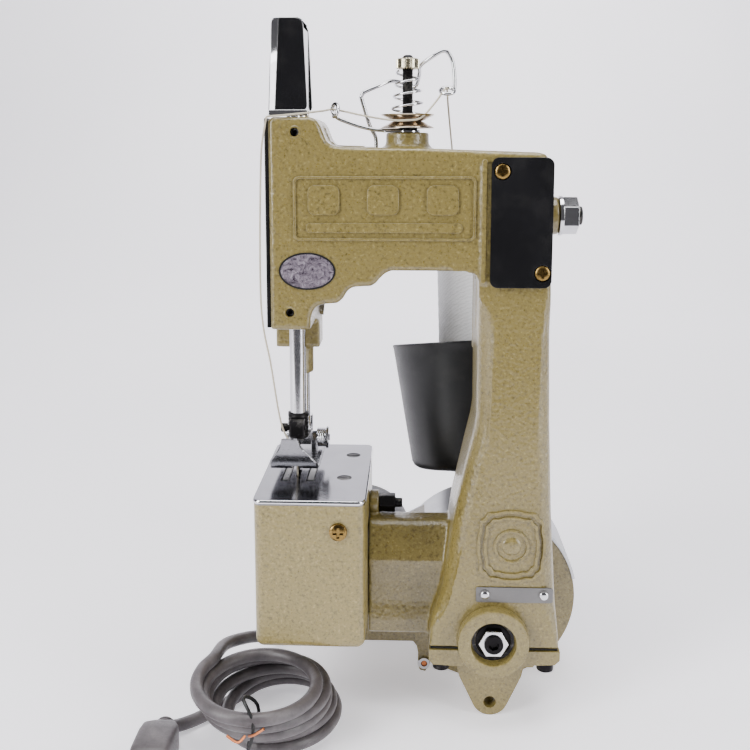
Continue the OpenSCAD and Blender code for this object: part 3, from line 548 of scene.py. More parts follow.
def cut(o, cutter, solver="EXACT"):
    m = o.modifiers.new("cut", "BOOLEAN")
    m.operation = "DIFFERENCE"
    m.object = cutter
    m.solver = solver
    if solver == "EXACT":
        m.use_self = True
    apply_all(o)
    bpy.data.objects.remove(cutter)
    return o


def cyl(name, a, b, r, n=48, r2=None):
    """A round bar between two design points, for joining and cutting."""
    a, b = Vector(a), Vector(b)
    d = b - a
    bm = bmesh.new()
    bmesh.ops.create_cone(bm, cap_ends=True, segments=n, radius1=r / 1000, radius2=(r if r2 is None else r2) / 1000,
                          depth=d.length / 1000)
    rot = d.to_track_quat("Z", "Y").to_matrix().to_4x4()
    mid = (a + b) / 2
    bmesh.ops.transform(bm, matrix=Matrix.Translation(P(*mid)) @ rot, verts=bm.verts)
    return from_bm(name, bm)


def block(name, lo, hi):
    bm = bmesh.new()
    bmesh.ops.create_cube(bm, size=1)
    lo, hi = Vector(lo), Vector(hi)
    size, mid = (hi - lo) / 1000, (hi + lo) / 2
    bmesh.ops.transform(bm, matrix=Matrix.Translation(P(*mid)) @ Matrix.Diagonal((*size, 1)), verts=bm.verts)
    return from_bm(name, bm)


# ---------------------------------------------------------------- mains lead
CORD_R = 3.4
LEAD_OUT = [(-78, 175.5, 22), (-78, 184, 21), (-82, 193, 14), (-92, 198, 6), (-106, 194, 3.6), (-119, 178, 3.6),
            (-126, 155, 3.6), (-128, 130, 3.6), (-128, 106, 3.6), (-127, 84, 7), (-128, 64, 15), (-131, 47, 24)]
RAMP = [(-139, 34, 30), (-148, 17, 35)]
TAIL = [(-150, 6, 3.7), (-160, -5, 3.7), (-168, -12.5, 4.6), (-172, -18.5, 7.4), (-172.5, -26, 9.6)]


def loop_points(turns, per_turn=20):
    """The tied loops, wound downwards with each turn lying under the last."""
    out = []
    n = int(turns * per_turn)
    for i in range(n + 1):
        t = i / per_turn
        f = i / n
        cx, cy = -125 + 12 * f + 1.6 * math.sin(5.1 * t), -24 + 28 * f + 1.4 * math.sin(3.7 * t + 1)
        rx, ry = 30 + 1.2 * math.sin(4.3 * t), 33 - 1.0 * f + 1.0 * math.cos(2.9 * t)
        ang = math.radians(146) + 2 * math.pi * t
        z = 38.6 - 35.0 * f
        out.append((cx + rx * math.cos(ang), cy + ry * math.sin(ang), z))
    return out


def lead_route():
    return LEAD_OUT + RAMP + loop_points(5.0) + TAIL


def make_lead():
    route = lead_route()
    pts = catmull(route, 4)
    o = wire("mains_lead", pts, CORD_R, 5, smooth=False)
    length = sum((Vector(b) - Vector(a)).length for a, b in zip(pts, pts[1:])) / 1000
    piece(o, "frame", CORD, ("power_cord", "cord_hank"))
    return o, length


LEAD, LEAD_LENGTH = make_lead()


def make_plug():
    bm = bmesh.new()
    # Body sections along -Y: half width, half height, y.
    cx, cz = -172.7, 9.6
    rows = [(3.9, 3.9, -20.6), (4.8, 4.6, -22), (7.4, 6.4, -25.5), (9.6, 8.8, -30), (10.2, 9.4, -36),
            (10.0, 9.4, -50), (9.6, 9.0, -53.2), (8.8, 8.2, -54.2)]
    rings = []
    for w, h, y in rows:
        rings.append([bm.verts.new(P(cx + w * math.copysign(abs(math.cos(a)) ** 0.34, math.cos(a)), y,
                                     cz + h * math.copysign(abs(math.sin(a)) ** 0.34, math.sin(a))))
                      for a in (2 * math.pi * k / 28 for k in range(28))])
    bridge(bm, rings)
    bm.faces.new(rings[0])
    bm.faces.new(rings[-1][::-1])
    body = from_bm("plug_body", bm, 40)
    piece(body, "frame", CORD, ("plug",))
    pins = []
    for x in (-177.6, -167.8):
        pins.append(extrude("pin", rounded(x - 3, 8.6, x + 3, 10.6, 0.9, 4), -69.5, -53.5))
    pins = join("plug_pins", pins)
    piece(bevel(pins, 0.3), "frame", GILT)
    rib = [(4.3, -0.7), (5.3, -0.4), (5.3, 0.4), (4.3, 0.7)]
    ribs = join("plug_ribs", [lathe("rib", rib, (-172.5, y, 9.6), "Y", 32) for y in (-24.6, -22.6, -20.8)])
    piece(soft(ribs, 40), "frame", CORD)
    return body, pins, ribs


PLUG = make_plug()


def make_relief():
    """The tapered strain relief where the lead leaves the motor's end."""
    pts = catmull(LEAD_OUT[:5], 5)[:14]
    parts = []
    for i, p in enumerate(pts[:-1]):
        f = i / (len(pts) - 2)
        r = 6.2 - 2.2 * f - (0.7 if i % 2 else 0)
        parts.append(cyl("r", p, Vector(pts[i + 1]) + (Vector(pts[i + 1]) - Vector(p)) * 0.15, r, 28))
    o = join("strain_relief", parts)
    soft(o, 40)
    return piece(o, "frame", BLACK)


RELIEF = make_relief()


def make_tie():
    """The soft wire tie round the loops, with bare copper ends."""
    parts = []
    c = (-122.5, -49.5)
    ring = [(c[0] + 3 * math.sin(3 * a), c[1] + 9.5 * math.cos(a), max(1.0, 21.8 + 22.6 * math.sin(a)))
            for a in (2 * math.pi * k / 36 for k in range(37))]
    parts.append(to_mesh(wire("tie", ring, 0.9, 3, smooth=False)))
    o = join("cord_tie", parts)
    piece(soft(o, 0), "frame", BLACK)
    ends = []
    for s in (-1, 1):
        end = catmull([(c[0] + 1 * s, c[1] - 8.5, 30), (c[0] + 4 * s, c[1] - 12, 31 + 2 * s),
                       (c[0] + 9 * s, c[1] - 13, 35 + 2 * s)], 5)
        ends.append(to_mesh(wire("tie_end", end, 0.7, 3, smooth=False)))
    e = join("cord_tie_ends", ends)
    soft(e, 0)
    return piece(e, "frame", COPPER)


make_tie()

# ---------------------------------------------------------------- frame casting
OUTLINE = [
    (-117, 218), (-117, 324.5), (-115, 326.5), (-95.5, 326.5), (-92.5, 325), (-90.5, 322), (-89, 318), (-87.5, 314.5),
    (-85, 312.5), (-80, 311.6), (-40, 311), (18.5, 309), (22, 308.2), (23.8, 306), (26.4, 249), (28.5, 168),
    (30.5, 120), (33, 80), (35.5, 45.1), (-34, 45.1), (-33.6, 55), (-32.4, 62), (-30, 68), (-27.5, 76), (-24.2, 97),
    (-21, 119), (-16.5, 139.5), (-13.7, 152.5), (-11, 164), (-10, 172), (-10, 241), (-10.6, 245), (-12.4, 247.6),
    (-14.9, 248.8), (-18, 249), (-55, 249), (-58, 247.6), (-60.5, 245.3), (-62.8, 242.4), (-65.3, 241),
    (-73.3, 240.5), (-75.8, 239.8), (-77.6, 238), (-79.6, 234.5), (-82.5, 232), (-89, 231.6), (-92.6, 230.6),
    (-95, 228.4), (-96.2, 225), (-96.5, 218)]
SECTION = [(16, 45), (12.6, 47.5), (12, 54), (14, 64), (14.6, 75), (13, 84), (12, 88.5), (14.5, 94), (18.6, 101),
           (21, 105), (24, 107.5), (36, 107), (50, 100.5), (56, 93), (56, 54), (52, 45)]


def resample(pts, step):
    out = []
    n = len(pts)
    for i in range(n):
        a, b = Vector(pts[i]), Vector(pts[(i + 1) % n])
        k = max(1, round((b - a).length / step))
        out += [tuple(a + (b - a) * j / k) for j in range(k)]
    return out


def slab(name, outline, y0, y1, radius, back=1.5):
    """An outline pushed back, its front edge rounded by radius(point)."""
    pts = resample(outline, 4)
    n = len(pts)
    normals = []
    for i in range(n):
        a, b, c = Vector(pts[i - 1]), Vector(pts[i]), Vector(pts[(i + 1) % n])
        e = ((b - a).normalized() + (c - b).normalized()).normalized()
        normals.append(Vector((-e.y, e.x)))
    area = sum(pts[i][0] * pts[(i + 1) % n][1] - pts[(i + 1) % n][0] * pts[i][1] for i in range(n))
    if area > 0:
        normals = [-v for v in normals]
    bm = bmesh.new()
    rings = []
    steps = 5
    for k in range(steps + 1):
        f = math.radians(90 * k / steps)
        ring = []
        for p, v in zip(pts, normals):
            r = radius(p)
            q = Vector(p) - v * r * (1 - math.sin(f))
            ring.append(bm.verts.new(P(q.x, y0 + r * (1 - math.cos(f)), q.y)))
        rings.append(ring)
    for d, y in ((0, y1 - back), (back, y1)):
        rings.append([bm.verts.new(P(p[0] - v.x * d, y, p[1] - v.y * d)) for p, v in zip(pts, normals)])
    for a, b in zip(rings, rings[1:]):
        for i in range(n):
            bm.faces.new((a[i], b[i], b[(i + 1) % n], a[(i + 1) % n]))
    bm.faces.new(rings[0])
    bm.faces.new(rings[-1][::-1])
    bmesh.ops.triangulate(bm, faces=[f for f in bm.faces if len(f.verts) > 4])
    return from_bm(name, bm)


def frame_radius(p):
    x, z = p
    if z < 50:
        return 2.0
    if z < 240 and x > -60:
        full = 11.0 if x < 8 else 9.0
        f = min(1.0, max(0.0, (z - 50) / 22)) * min(1.0, max(0.0, (240 - z) / 26))
        return 2.5 + (full - 2.5) * f * f * (3 - 2 * f)
    if x > -14 and z >= 240:
        return 3.2
    return 2.4


def remesh(o, voxel, smooth, factor=0.5):
    m = o.modifiers.new("remesh", "REMESH")
    m.mode = "VOXEL"
    m.voxel_size = voxel / 1000
    m.adaptivity = 0
    s = o.modifiers.new("smooth", "SMOOTH")
    s.factor = factor
    s.iterations = smooth
    apply_all(o)
    soft(o, 0)
    return o


def make_frame():
    upper = [p for p in OUTLINE if p[1] >= 200]
    i = upper.index((26.4, 249))
    upper = upper[:i + 1] + [(27.6, 201), (-10, 201)] + upper[i + 1:]
    parts = [
        slab("f", OUTLINE, 0, 46, frame_radius),
        slab("f", upper, 20, 52, lambda p: 1.0, 2.5),
        extrude("f", SECTION, -67.4, -14, "YZ"),
        cyl("f", (-47, 23, 306), (-47, 23, 319), 11.2),
        cyl("f", (-47, 23, 308), (-47, 23, 313), 15.5, 48, 11.4),
        cyl("f", (19, 23, 276), (32, 23, 276), 10),
        block("f", (-118.4, 29, 203), (-94.5, 48, 218.4)),
        block("f", (-116.8, 29, 217), (-96.6, 48, 224)),
        cyl("f", (-105, 38, 187.3), (-105, 38, 206), 6.2),
        cyl("f", (0, 43, 51), (0, 52, 51), 30),
        cyl("f", (-67.4, 36, 112.5), (-62.2, 36, 112.5), 7),
        block("f", (-67.4, 30, 104), (-62.2, 42, 112.5)),
        # Rib beside the side cover.
        block("f", (-9.6, -0.9, 243), (-6.2, 4, 304)),
    ]
    o = join("frame_casting", parts)
    remesh(o, FRAME_VOXEL, 5)
    cutters = [
        block("c", (-120, 9, 234), (-96.4, 47, 316)),
        block("c", (-99, 12, 256), (20, 40, 301)),
        block("c", (-3, 8, 84), (21, 40, 260)),
        block("c", (-19, 8, 30), (19, 40, 90)),
        block("c", (-70, 22, 58), (-18, 44, 96)),
        cyl("c", (0, -2, 51), (0, 9, 51), 11.02),
        cyl("c", (0, 39, 51), (0, 54, 51), 9),
        cyl("c", (-105.5, 20, 200), (-105.5, 20, 240), 7),
        cyl("c", (-105.5, 20, 310), (-105.5, 20, 330), 7),
        cyl("c", (-105, 38, 185), (-105, 38, 240), 4.15),
        cyl("c", (-105, 38, 310), (-105, 38, 330), 5.3),
        cyl("c", (16, 23, 276), (34, 23, 276), 4.95),
        cyl("c", (-47, 23, 300), (-47, 23, 322), 2.95),
        cyl("c", (-103.5, -2, 319), (-103.5, 7, 319), 2.3, 32),
        cyl("c", (-106.8, -2, 227.2), (-106.8, 7, 227.2), 2.3, 32),
        cyl("c", (-90, 44, 280), (-90, 54, 280), 3),
        cyl("c", (-38, 44, 280), (-38, 54, 280), 3),
        cyl("c", (-96, 44, 250), (-96, 54, 250), 2.5),
        cyl("c", (-80, 36, 112.5), (-50, 36, 112.5), 3.05),
        cyl("c", (-27.3, 7, 40), (-27.3, 7, 60), 3),
        cyl("c", (29.2, 7, 40), (29.2, 7, 60), 3),
    ]
    c = join("cutter", cutters)
    cut(o, c)
    soft(o, 40)
    return piece(o, "frame", OLIVE, ("main_frame",))


FRAME_VOXEL = 0.9
make_frame()


def relief(name, outline, y_front, height, width=0.35, material=None, body="frame", slot="hammer_paint"):
    o = extrude(name, outline, y_front - height, y_front + 0.3)
    bevel(o, width, 2)
    return piece(o, body, material or OLIVE)


def frame_ring(name, outer, inner, y0, y1):
    """A flat ring between two outlines with the same number of points."""
    bm = bmesh.new()
    n = len(outer)
    rows = [[bm.verts.new(P(x, y, z)) for x, z in pts] for pts, y in
            ((outer, y0), (inner, y0), (inner, y1), (outer, y1))]
    for a, b in zip(rows, rows[1:] + rows[:1]):
        for i in range(n):
            bm.faces.new((a[i], a[(i + 1) % n], b[(i + 1) % n], b[i]))
    return from_bm(name, bm)


# Centres on the front: the square badge of the column and the foil sticker of the head.
BADGE = (9, 103)
STICKER = (-97.7, 248.8)


def make_relief_marks():
    border = frame_ring("arm_border", rounded(-104.4, 264.5, -12.3, 297, 3),
                        rounded(-103.1, 265.8, -13.6, 295.7, 1.9), -1.1, 0.3)
    piece(bevel(border, 0.35, 2), "frame", OLIVE)
    pads = []
    for x in (-89, -59, -29):
        pads.append(extrude("pad", rounded(x - 8, 277.5, x + 8, 292.5, 3.5, 6), -1.2, 0.3))
    pads.append(extrude("pad", rounded(-98, 268.5, -19, 273.5, 2, 5), -1.0, 0.3))
    pads = join("arm_pads", pads)
    piece(bevel(pads, 0.35, 2), "frame", OLIVE)
    rib = extrude("cover_rib", rounded(-9.6, 243, -6.8, 305.5, 1.3, 5), -1.3, 0.3)
    piece(bevel(rib, 0.5, 3), "frame", OLIVE)
    # Plain wavy double frame on the column.
    n = 160

    def wavy(w, h, amp):
        out = []
        for k in range(n):
            a = 2 * math.pi * k / n
            c, q = math.cos(a), math.sin(a)
            g = 1 + amp * math.cos(12 * a)
            out.append((BADGE[0] + g * w * math.copysign(abs(c) ** 0.55, c),
                        BADGE[1] + g * h * math.copysign(abs(q) ** 0.55, q)))
        return out
    for k, (w, h) in enumerate(((17.8, 19.5), (14.4, 16.1))):
        badge = frame_ring("badge_frame_%d" % k, wavy(w, h, 0.022), wavy(w - 1.7, h - 1.7, 0.022), -1.15, 0.4)
        piece(bevel(badge, 0.3, 2), "frame", OLIVE)
    ring2 = frame_ring("badge_inner_ring", ellipse(*BADGE, 9.4, 9.4, n), ellipse(*BADGE, 7.8, 7.8, n), -1.1, 0.4)
    piece(bevel(ring2, 0.3, 2), "frame", OLIVE)
    dome = lathe("badge_dome", [(0, -0.9), (2.5, -0.8), (4.6, -0.4), (5.4, 0.4), (0, 0.4)],
                 (BADGE[0], 0, BADGE[1]), "Y", 40, close=False)
    piece(dome, "frame", OLIVE)
    # Blank oval foil sticker on the head.
    s = extrude("oval_sticker", ellipse(*STICKER, 14.2, 9.3, 64), -0.25, 0.4)
    piece(bevel(s, 0.12, 2), "frame", FOIL)
    rim = frame_ring("oval_rim", ellipse(*STICKER, 14.5, 9.6, 64), ellipse(*STICKER, 13.6, 8.7, 64), -0.38, 0.3)
    piece(rim, "frame", BLACK)
    # Lips of the two set-screw holes, with their screws.
    for k, (x, z) in enumerate(((-103.5, 319), (-106.8, 227.2))):
        lip = lathe("set_screw_lip_%d" % k, [(2.2, 0.2), (2.3, -0.25), (2.9, -0.3), (3.3, 0.1)], (x, 0, z), "Y", 32)
        piece(lip, "frame", OLIVE)
        s = extrude("set_screw_%d" % k, ellipse(x, z, 2.2, 2.2, 24), 2.2, 6)
        cut(s, extrude("c", ellipse(x, z, 1.2, 1.2, 6), 1.5, 4.5))
        piece(s, "frame", DARK)


make_relief_marks()


def make_box_cover():
    lo, hi = mm("box_cover")
    o = block("looper_cover", lo, hi)
    bm = bmesh.new()
    bm.from_mesh(o.data)
    top = max(v.co.z for v in bm.verts)
    edges = [e for e in bm.edges if not all(abs(v.co.z - top) < 1e-6 for v in e.verts)]
    bmesh.ops.bevel(bm, geom=edges, offset=0.0045, segments=6, profile=0.5, affect="EDGES", clamp_overlap=True)
    bm.to_mesh(o.data)
    bm.free()
    w = 2.5
    c = join("c", [block("c", (lo[0] + w, lo[1] + w, lo[2] + w), (hi[0] - w, hi[1] - w, hi[2] + 2)),
                   block("c", (hi[0] - 6, 11.5, lo[2] + w), (hi[0] + 2, 56.5, 108.5)),
                   cyl("c", (-81, lo[1] - 2, 118), (-81, lo[1] + 6, 118), 2.4, 24),
                   cyl("c", (-72, 36, 112.5), (-60, 36, 112.5), 3.05, 24)])
    cut(o, c)
    soft(o, 30)
    flat_faces(o)
    return piece(o, "frame", OLIVE_BOX, ("box_cover",))


make_box_cover()


def make_plate_rim():
    """The polished edge of the throat plate."""
    lo, hi = mm("throat_plate")
    pts = [(x, y, hi[2] - 1.5) for x, y in rounded(lo[0] + 0.9, lo[1] + 0.9, hi[0] - 0.9, hi[1] - 0.9, 3.4, 8)]
    o = to_mesh(wire("throat_plate_rim", pts, 1.5, 5, cyclic=True, smooth=False))
    piece(o, "frame", CHROME)


make_plate_rim()

# ---------------------------------------------------------------- broken-edge copies of the CAD shapes
COPIES = [
    ("rating_plate", RATING, 0.2), ("throat_plate", PLATE, 0.5), ("throat_plate_screws", DARK, 0.25),
    ("looper_bracket", IRON, 0.6), ("feed_dog", STEEL, 0.15), ("feed_bar", DARK, 0.4), ("looper", CHROME, 0.3),
    ("looper_shaft", STEEL, 0.5), ("beam_bolt", DARK, 0.5), ("bottom_cap", OLIVE, 1.4),
    ("cap_screws", BLACK_SCREW, 0.4), ("front_bearing", OLIVE, 1.3), ("rear_bushing", BUSH, 0.3),
    ("drive_eccentric", STEEL, 0.5), ("connecting_rod", ALU, 0.8),
    ("rocker_lever", IRON, 0.6), ("rocker_pivot", STEEL, 0.4), ("side_cover", GLOSS_BLACK, 0.7),
    ("hanging_stud", DARK, 0.5), ("hanging_nut", CHROME, 0.7),
    ("face_plate", GLOSS_BLACK, 0.4), ("needle_bar_bushings", BUSH, 0.4), ("needle_bar", CHROME, 0.4),
    ("needle", CHROME, 0.0), ("presser_bar", CHROME, 0.4),
    ("presser_lever", CHROME, 0.5),
    ("belt_housing", OLIVE, 1.6), ("belt_cover", ALU, 0.9), ("driven_pulley", ALU, 0.6), ("motor_pulley", STEEL, 0.4),
    ("motor_housing", MOTOR_BLACK, 1.2), ("motor_end_bell", BLACK, 0.8), ("motor_rotor", STEEL, 0.4),
    ("cup_bracket", ALU, 0.7), ("trigger", BLACK, 1.2),
]
for node, material, width in COPIES:
    clone(node, material, width)


# ---------------------------------------------------------------- shaft end and screws
def hexagon(x, z, af):
    r = af / math.sqrt(3)
    return ellipse(x, z, r, r, 6, 0.3)


def make_shaft_end():
    z = mm("main_shaft")
    z = (z[0][2] + z[1][2]) / 2
    profile = [(0, -5.2), (3.8, -5.2), (4, -5.0), (4, -1.9), (5.6, -1.9), (6, -1.5), (6, 91.1), (5.6, 91.5),
               (0, 91.5)]
    shaft = lathe("main_shaft_piece", profile, (0, 0, z), "Y", 48, close=False)
    piece(shaft, "shaft", STEEL, ("main_shaft",))
    screw = extrude("shaft_screw_piece", ellipse(0, z, 5.1, 5.1, 48), -7.6, -5.25)
    apply_all(bevel(screw, 0.45, 3))
    cut(screw, extrude("c", hexagon(0, z, 5.0), -8.4, -5.8))
    piece(flat_faces(soft(screw, 30)), "shaft", BLACK_SCREW, ("shaft_set_screw",))
    nut = extrude("shaft_nut_piece", ellipse(0, z, 8.08, 8.08, 6), -6.2, -2.4)
    apply_all(bevel(nut, 0.5, 3))
    cut(nut, cyl("c", (0, -8, z), (0, 0, z), 4.05))
    piece(flat_faces(soft(nut, 30)), "shaft", CHROME, ("shaft_nut",))
    # Painted shade: the washer is coloured near black so the recess round the nut reads as shaded.
    washer = lathe("shaft_washer", [(4.1, -2.38), (9.2, -2.38), (9.5, -2.2), (9.5, -1.97), (4.1, -1.97)],
                   (0, 0, z), "Y", 56)
    piece(washer, "shaft", BLACK_SCREW)
    joint = block("split_joint", (-33.2, 1.4, 43.95), (34.8, 38.5, 45.05))
    piece(bevel(joint, 0.2, 2), "frame", BLACK)
    # Painted shade: a dark ring laid in the front bearing's recess round the nut, where only shade falls.
    recess_shade = lathe("painted_recess_shade", [(9.7, -1.62), (11.6, -1.62), (11.6, -2.1), (10.9, -1.85), (9.7, -1.8)],
                 (0, 0, z), "Y", 64)
    piece(recess_shade, "frame", DARK)


make_shaft_end()


def make_cross_screws():
    y0 = mm("box_cover")[0][1]
    heads = []
    for x, z, y, radius, rear in ((0.5, 299.5, -3.1, 4.1, 6), (21.4, 248.5, -3.1, 4.1, 6),
                                  (-81, 118, y0 - 1.9, 4.6, y0 + 12)):
        prof = [(0, -0.35), (radius * 0.45, -0.28), (radius * 0.78, 0.05), (radius * 0.95, 0.5), (radius, 1.0),
                (radius, 1.85), (1.9, 1.85), (1.9, rear - y), (0, rear - y)]
        h = lathe("h", prof, (x, y, z), "Y", 48, close=False)
        a, b = radius * 0.60, radius * 0.17
        bm_cut = join("c", [block("c", (x - a, y - 1, z - b), (x + a, y + 0.95, z + b)),
                            block("c", (x - b, y - 1, z - a), (x + b, y + 0.95, z + a)),
                            cyl("c", (x, y - 1, z), (x, y + 1.1, z), radius * 0.28, 24)])
        cut(h, bm_cut)
        heads.append(h)
    o = join("cover_screws_piece", heads)
    piece(soft(o, 35), "frame", GILT, ("cover_screws",))
    dome = [(0, -2.15), (1.2, -2.05), (2.1, -1.7), (2.65, -1.1), (2.7, -0.75), (0, -0.75)]
    rivets = [lathe("r", dome, (x, 0, 76.2), "Y", 40, close=False) for x in (-4.6, 26.5)]
    o = join("plate_rivets", rivets)
    piece(soft(o, 40), "frame", CHROME)


make_cross_screws()


# ---------------------------------------------------------------- needle clamp and foot
def make_clamp():
    x, y = -105.5, 20
    prof = [(1.1, 155.2), (4.9, 155.2), (5.5, 155.8)]
    z = 156.2
    while z < 167.6:
        prof += [(5.6, z), (5.6, z + 1.0), (5.05, z + 1.3), (5.05, z + 1.7), (5.6, z + 2.0)]
        z += 2.2
    prof += [(5.6, 168.6), (5.0, 169.4), (4.42, 169.4), (4.42, 163.1), (1.1, 163.1)]
    body = lathe("c", prof, (x, y, 0), "Z", 56)
    lug = block("c", (x - 4, y - 8, 157.4), (x + 4, y - 4.2, 167.2))
    bevel(lug, 0.7, 3)
    screw = lathe("c", [(0, -8.6), (2.0, -8.6), (2.4, -8.2), (2.4, -5.2), (1.5, -5.0), (1.5, 4.6), (0, 4.6)],
                  (x, y - 6, 162.2), "X", 32, close=False)
    o = join("needle_clamp_piece", [body, lug, screw])
    piece(flat_faces(soft(o, 35)), "needle_slide", DARK, ("needle_clamp",))


make_clamp()


def make_foot():
    z0 = mm("presser_foot")[0][2]
    # Underside of the sole and toe: y, height, half width left and right of the centre.
    rows = [(44, 0, 12.8, 12.8), (34, 0, 13, 13), (24, 0, 13.1, 13.1), (14, 0, 13.1, 13.1), (10.5, 0.1, 13.1, 13.1),
            (8, 0.5, 13.1, 13.1), (5.8, 1.5, 13.1, 13.1), (4.1, 3.0, 13.0, 13.0), (2.9, 4.9, 12.6, 12.6),
            (2.1, 6.8, 11.6, 11.4), (1.5, 8.8, 10.0, 9.8), (1.1, 10.8, 8.4, 7.8), (0.8, 12.8, 7.2, 6.2),
            (0.6, 14.8, 6.2, 5.0), (0.4, 16.8, 5.5, 4.2), (0.1, 18.4, 5.0, 3.6)]
    cx = -106.3
    bm = bmesh.new()
    rings = []
    for i, (y, h, wl, wr) in enumerate(rows):
        a, b = rows[max(i - 1, 0)], rows[min(i + 1, len(rows) - 1)]
        t = Vector((b[0] - a[0], b[1] - a[1])).normalized()
        nrm = Vector((t.y, -t.x)) if t.x > 0 else Vector((-t.y, t.x))
        nrm = Vector((nrm.x, nrm.y))
        if nrm.y < 0 and i < 8:
            nrm = -nrm
        if i >= 8 and nrm.x < 0:
            nrm = -nrm
        thick = 2.4 if i < 6 else 2.0
        edge = 0.7
        shift = 1.1 * min(1.0, h / 18.4)
        ring = []
        for side, off in ((-wl, edge), (-wl + edge, 0), (wr - edge, 0), (wr, edge), (wr, thick - edge),
                          (wr - edge, thick), (-wl + edge, thick), (-wl, thick - edge)):
            ring.append(bm.verts.new(P(cx - shift + side, y + nrm.x * off, z0 + h + nrm.y * off)))
        rings.append(ring)
    bridge(bm, rings)
    bm.faces.new(rings[0])
    bm.faces.new(rings[-1][::-1])
    sole = from_bm("sole", bm, 40)
    cut(sole, block("c", (-107.5, 4, z0 - 1), (-103.5, 27, z0 + 6)))
    ears = []
    for x in (-112.9, -99.9):
        ear = extrude("ear", [(31, z0 + 2), (43, z0 + 2), (43, z0 + 8), (40.5, z0 + 11.4), (37, z0 + 12.6),
                              (33.6, z0 + 11.4), (31, z0 + 8)], x, x + 2.8, "YZ")
        bevel(ear, 0.4, 2)
        ears.append(ear)
    pin = lathe("pin", [(0, -114.6), (1.5, -114.6), (1.9, -114.2), (1.9, -95.8), (1.5, -95.4), (0, -95.4)],
                (0, 37, z0 + 9), "X", 32, close=False)
    o = join("presser_foot_piece", [sole, *ears, pin])
    piece(flat_faces(soft(o, 40)), "foot", FOOT, ("presser_foot",))


make_foot()


def make_hinge():
    parts = []
    coil = [(-96.6 + 4.2 * k / 80, 37 + 4.6 * math.cos(2 * math.pi * k / 20),
             150 + 4.6 * math.sin(2 * math.pi * k / 20)) for k in range(81)]
    parts.append(to_mesh(wire("w", coil, 0.85, 4, smooth=False)))
    parts.append(lathe("w", [(1.95, -92.0), (5.9, -92.0), (6.3, -91.6), (6.3, -90.9), (5.8, -90.5), (1.95, -90.5)],
                       (0, 37, 150), "X", 48))
    parts.append(lathe("w", [(0, -95.5), (1.9, -95.5), (1.9, -90.2), (1.5, -89.9), (0, -89.9)], (0, 37, 150), "X", 32,
                       close=False))
    o = join("hinge_spring", parts)
    piece(soft(o, 40), "foot", CHROME)


make_hinge()


# ---------------------------------------------------------------- guard over the needle bar
def round_poly(pts, r, n=7):
    out = []
    m = len(pts)
    rs = r if isinstance(r, (list, tuple)) else [r] * m
    for i in range(m):
        p, a, b = Vector(pts[i]), Vector(pts[i - 1]), Vector(pts[(i + 1) % m])
        u, v = (a - p).normalized(), (b - p).normalized()
        k = rs[i] / math.tan(math.acos(max(-1, min(1, u.dot(v)))) / 2)
        s0, s1 = p + u * k, p + v * k
        for j in range(n + 1):
            t = j / n
            out.append(tuple((s0 * (1 - t) + p * t) * (1 - t) + (p * (1 - t) + s1 * t) * t))
    return out


def make_guard():
    shell = extrude("needle_guard", round_poly([(-117.3, 326.7), (-97.0, 326.7), (-99.2, 376), (-115.2, 376)],
                                               (1.0, 1.0, 4.0, 4.0)), 6.8, 31)
    apply_all(bevel(shell, 0.4, 2))
    inner = extrude("c", round_poly([(-115.3, 320), (-90, 320), (-90, 373.9), (-113.3, 373.9)],
                                    (0.6, 0.6, 0.6, 2.4)), 6, 32)
    cut(shell, inner)
    # Front flange at the left and the bright sill.
    flange = extrude("flange", round_poly([(-117.2, 327.6), (-113.6, 327.6), (-111.4, 375.6), (-115.1, 375.6)],
                                          (0.8, 0.4, 0.4, 3.0)), 5.2, 7.2)
    bevel(flange, 0.35, 2)
    sill = extrude("sill", rounded(-117.0, 327.2, -97.2, 330.2, 0.6, 4), 4.2, 7.2)
    bevel(sill, 0.3, 2)
    o = join("needle_guard_piece", [shell, flange, sill])
    cut(o, block("c", (-118.5, 18, 334), (-112.9, 22, 362)))
    piece(flat_faces(soft(o, 40)), "frame", CHROME, ("top_guard",))
    panels = []
    for y in (4.9, 28.9):
        q = extrude("panel", round_poly([(-114.0, 329.9), (-97.3, 329.9), (-99.2, 375.4), (-111.5, 375.4)],
                                        (0.5, 3.0, 5.0, 1.0)), y, y + 2)
        apply_all(bevel(q, 0.4, 2))
        panels.append(q)
    side = extrude("side_panel", [(5.2, 330.2), (30.4, 330.2), (30.4, 371), (5.2, 371)], -99.6, -98.4, "YZ")
    for v in side.data.vertices:
        v.co.x -= 0.0008 * (v.co.z - 0.33) / 0.041
    bevel(side, 0.3, 2)
    panels.append(side)
    o = join("guard_panels_piece", panels)
    piece(flat_faces(soft(o, 40)), "frame", GLOSS_BLACK, ("guard_panels",))
    # Bright band over the top of the belt housing.
    arc = [math.radians(12 + 180 * k / 48) for k in range(49)]
    pts = [(53.4 * math.cos(a), 50 + 53.4 * math.sin(a)) for a in arc]
    pts += [(51.6 * math.cos(a), 50 + 51.6 * math.sin(a)) for a in reversed(arc)]
    band = extrude("housing_band", pts, 51.4, 96.4)
    piece(bevel(band, 0.3, 2), "frame", ALU)


make_guard()


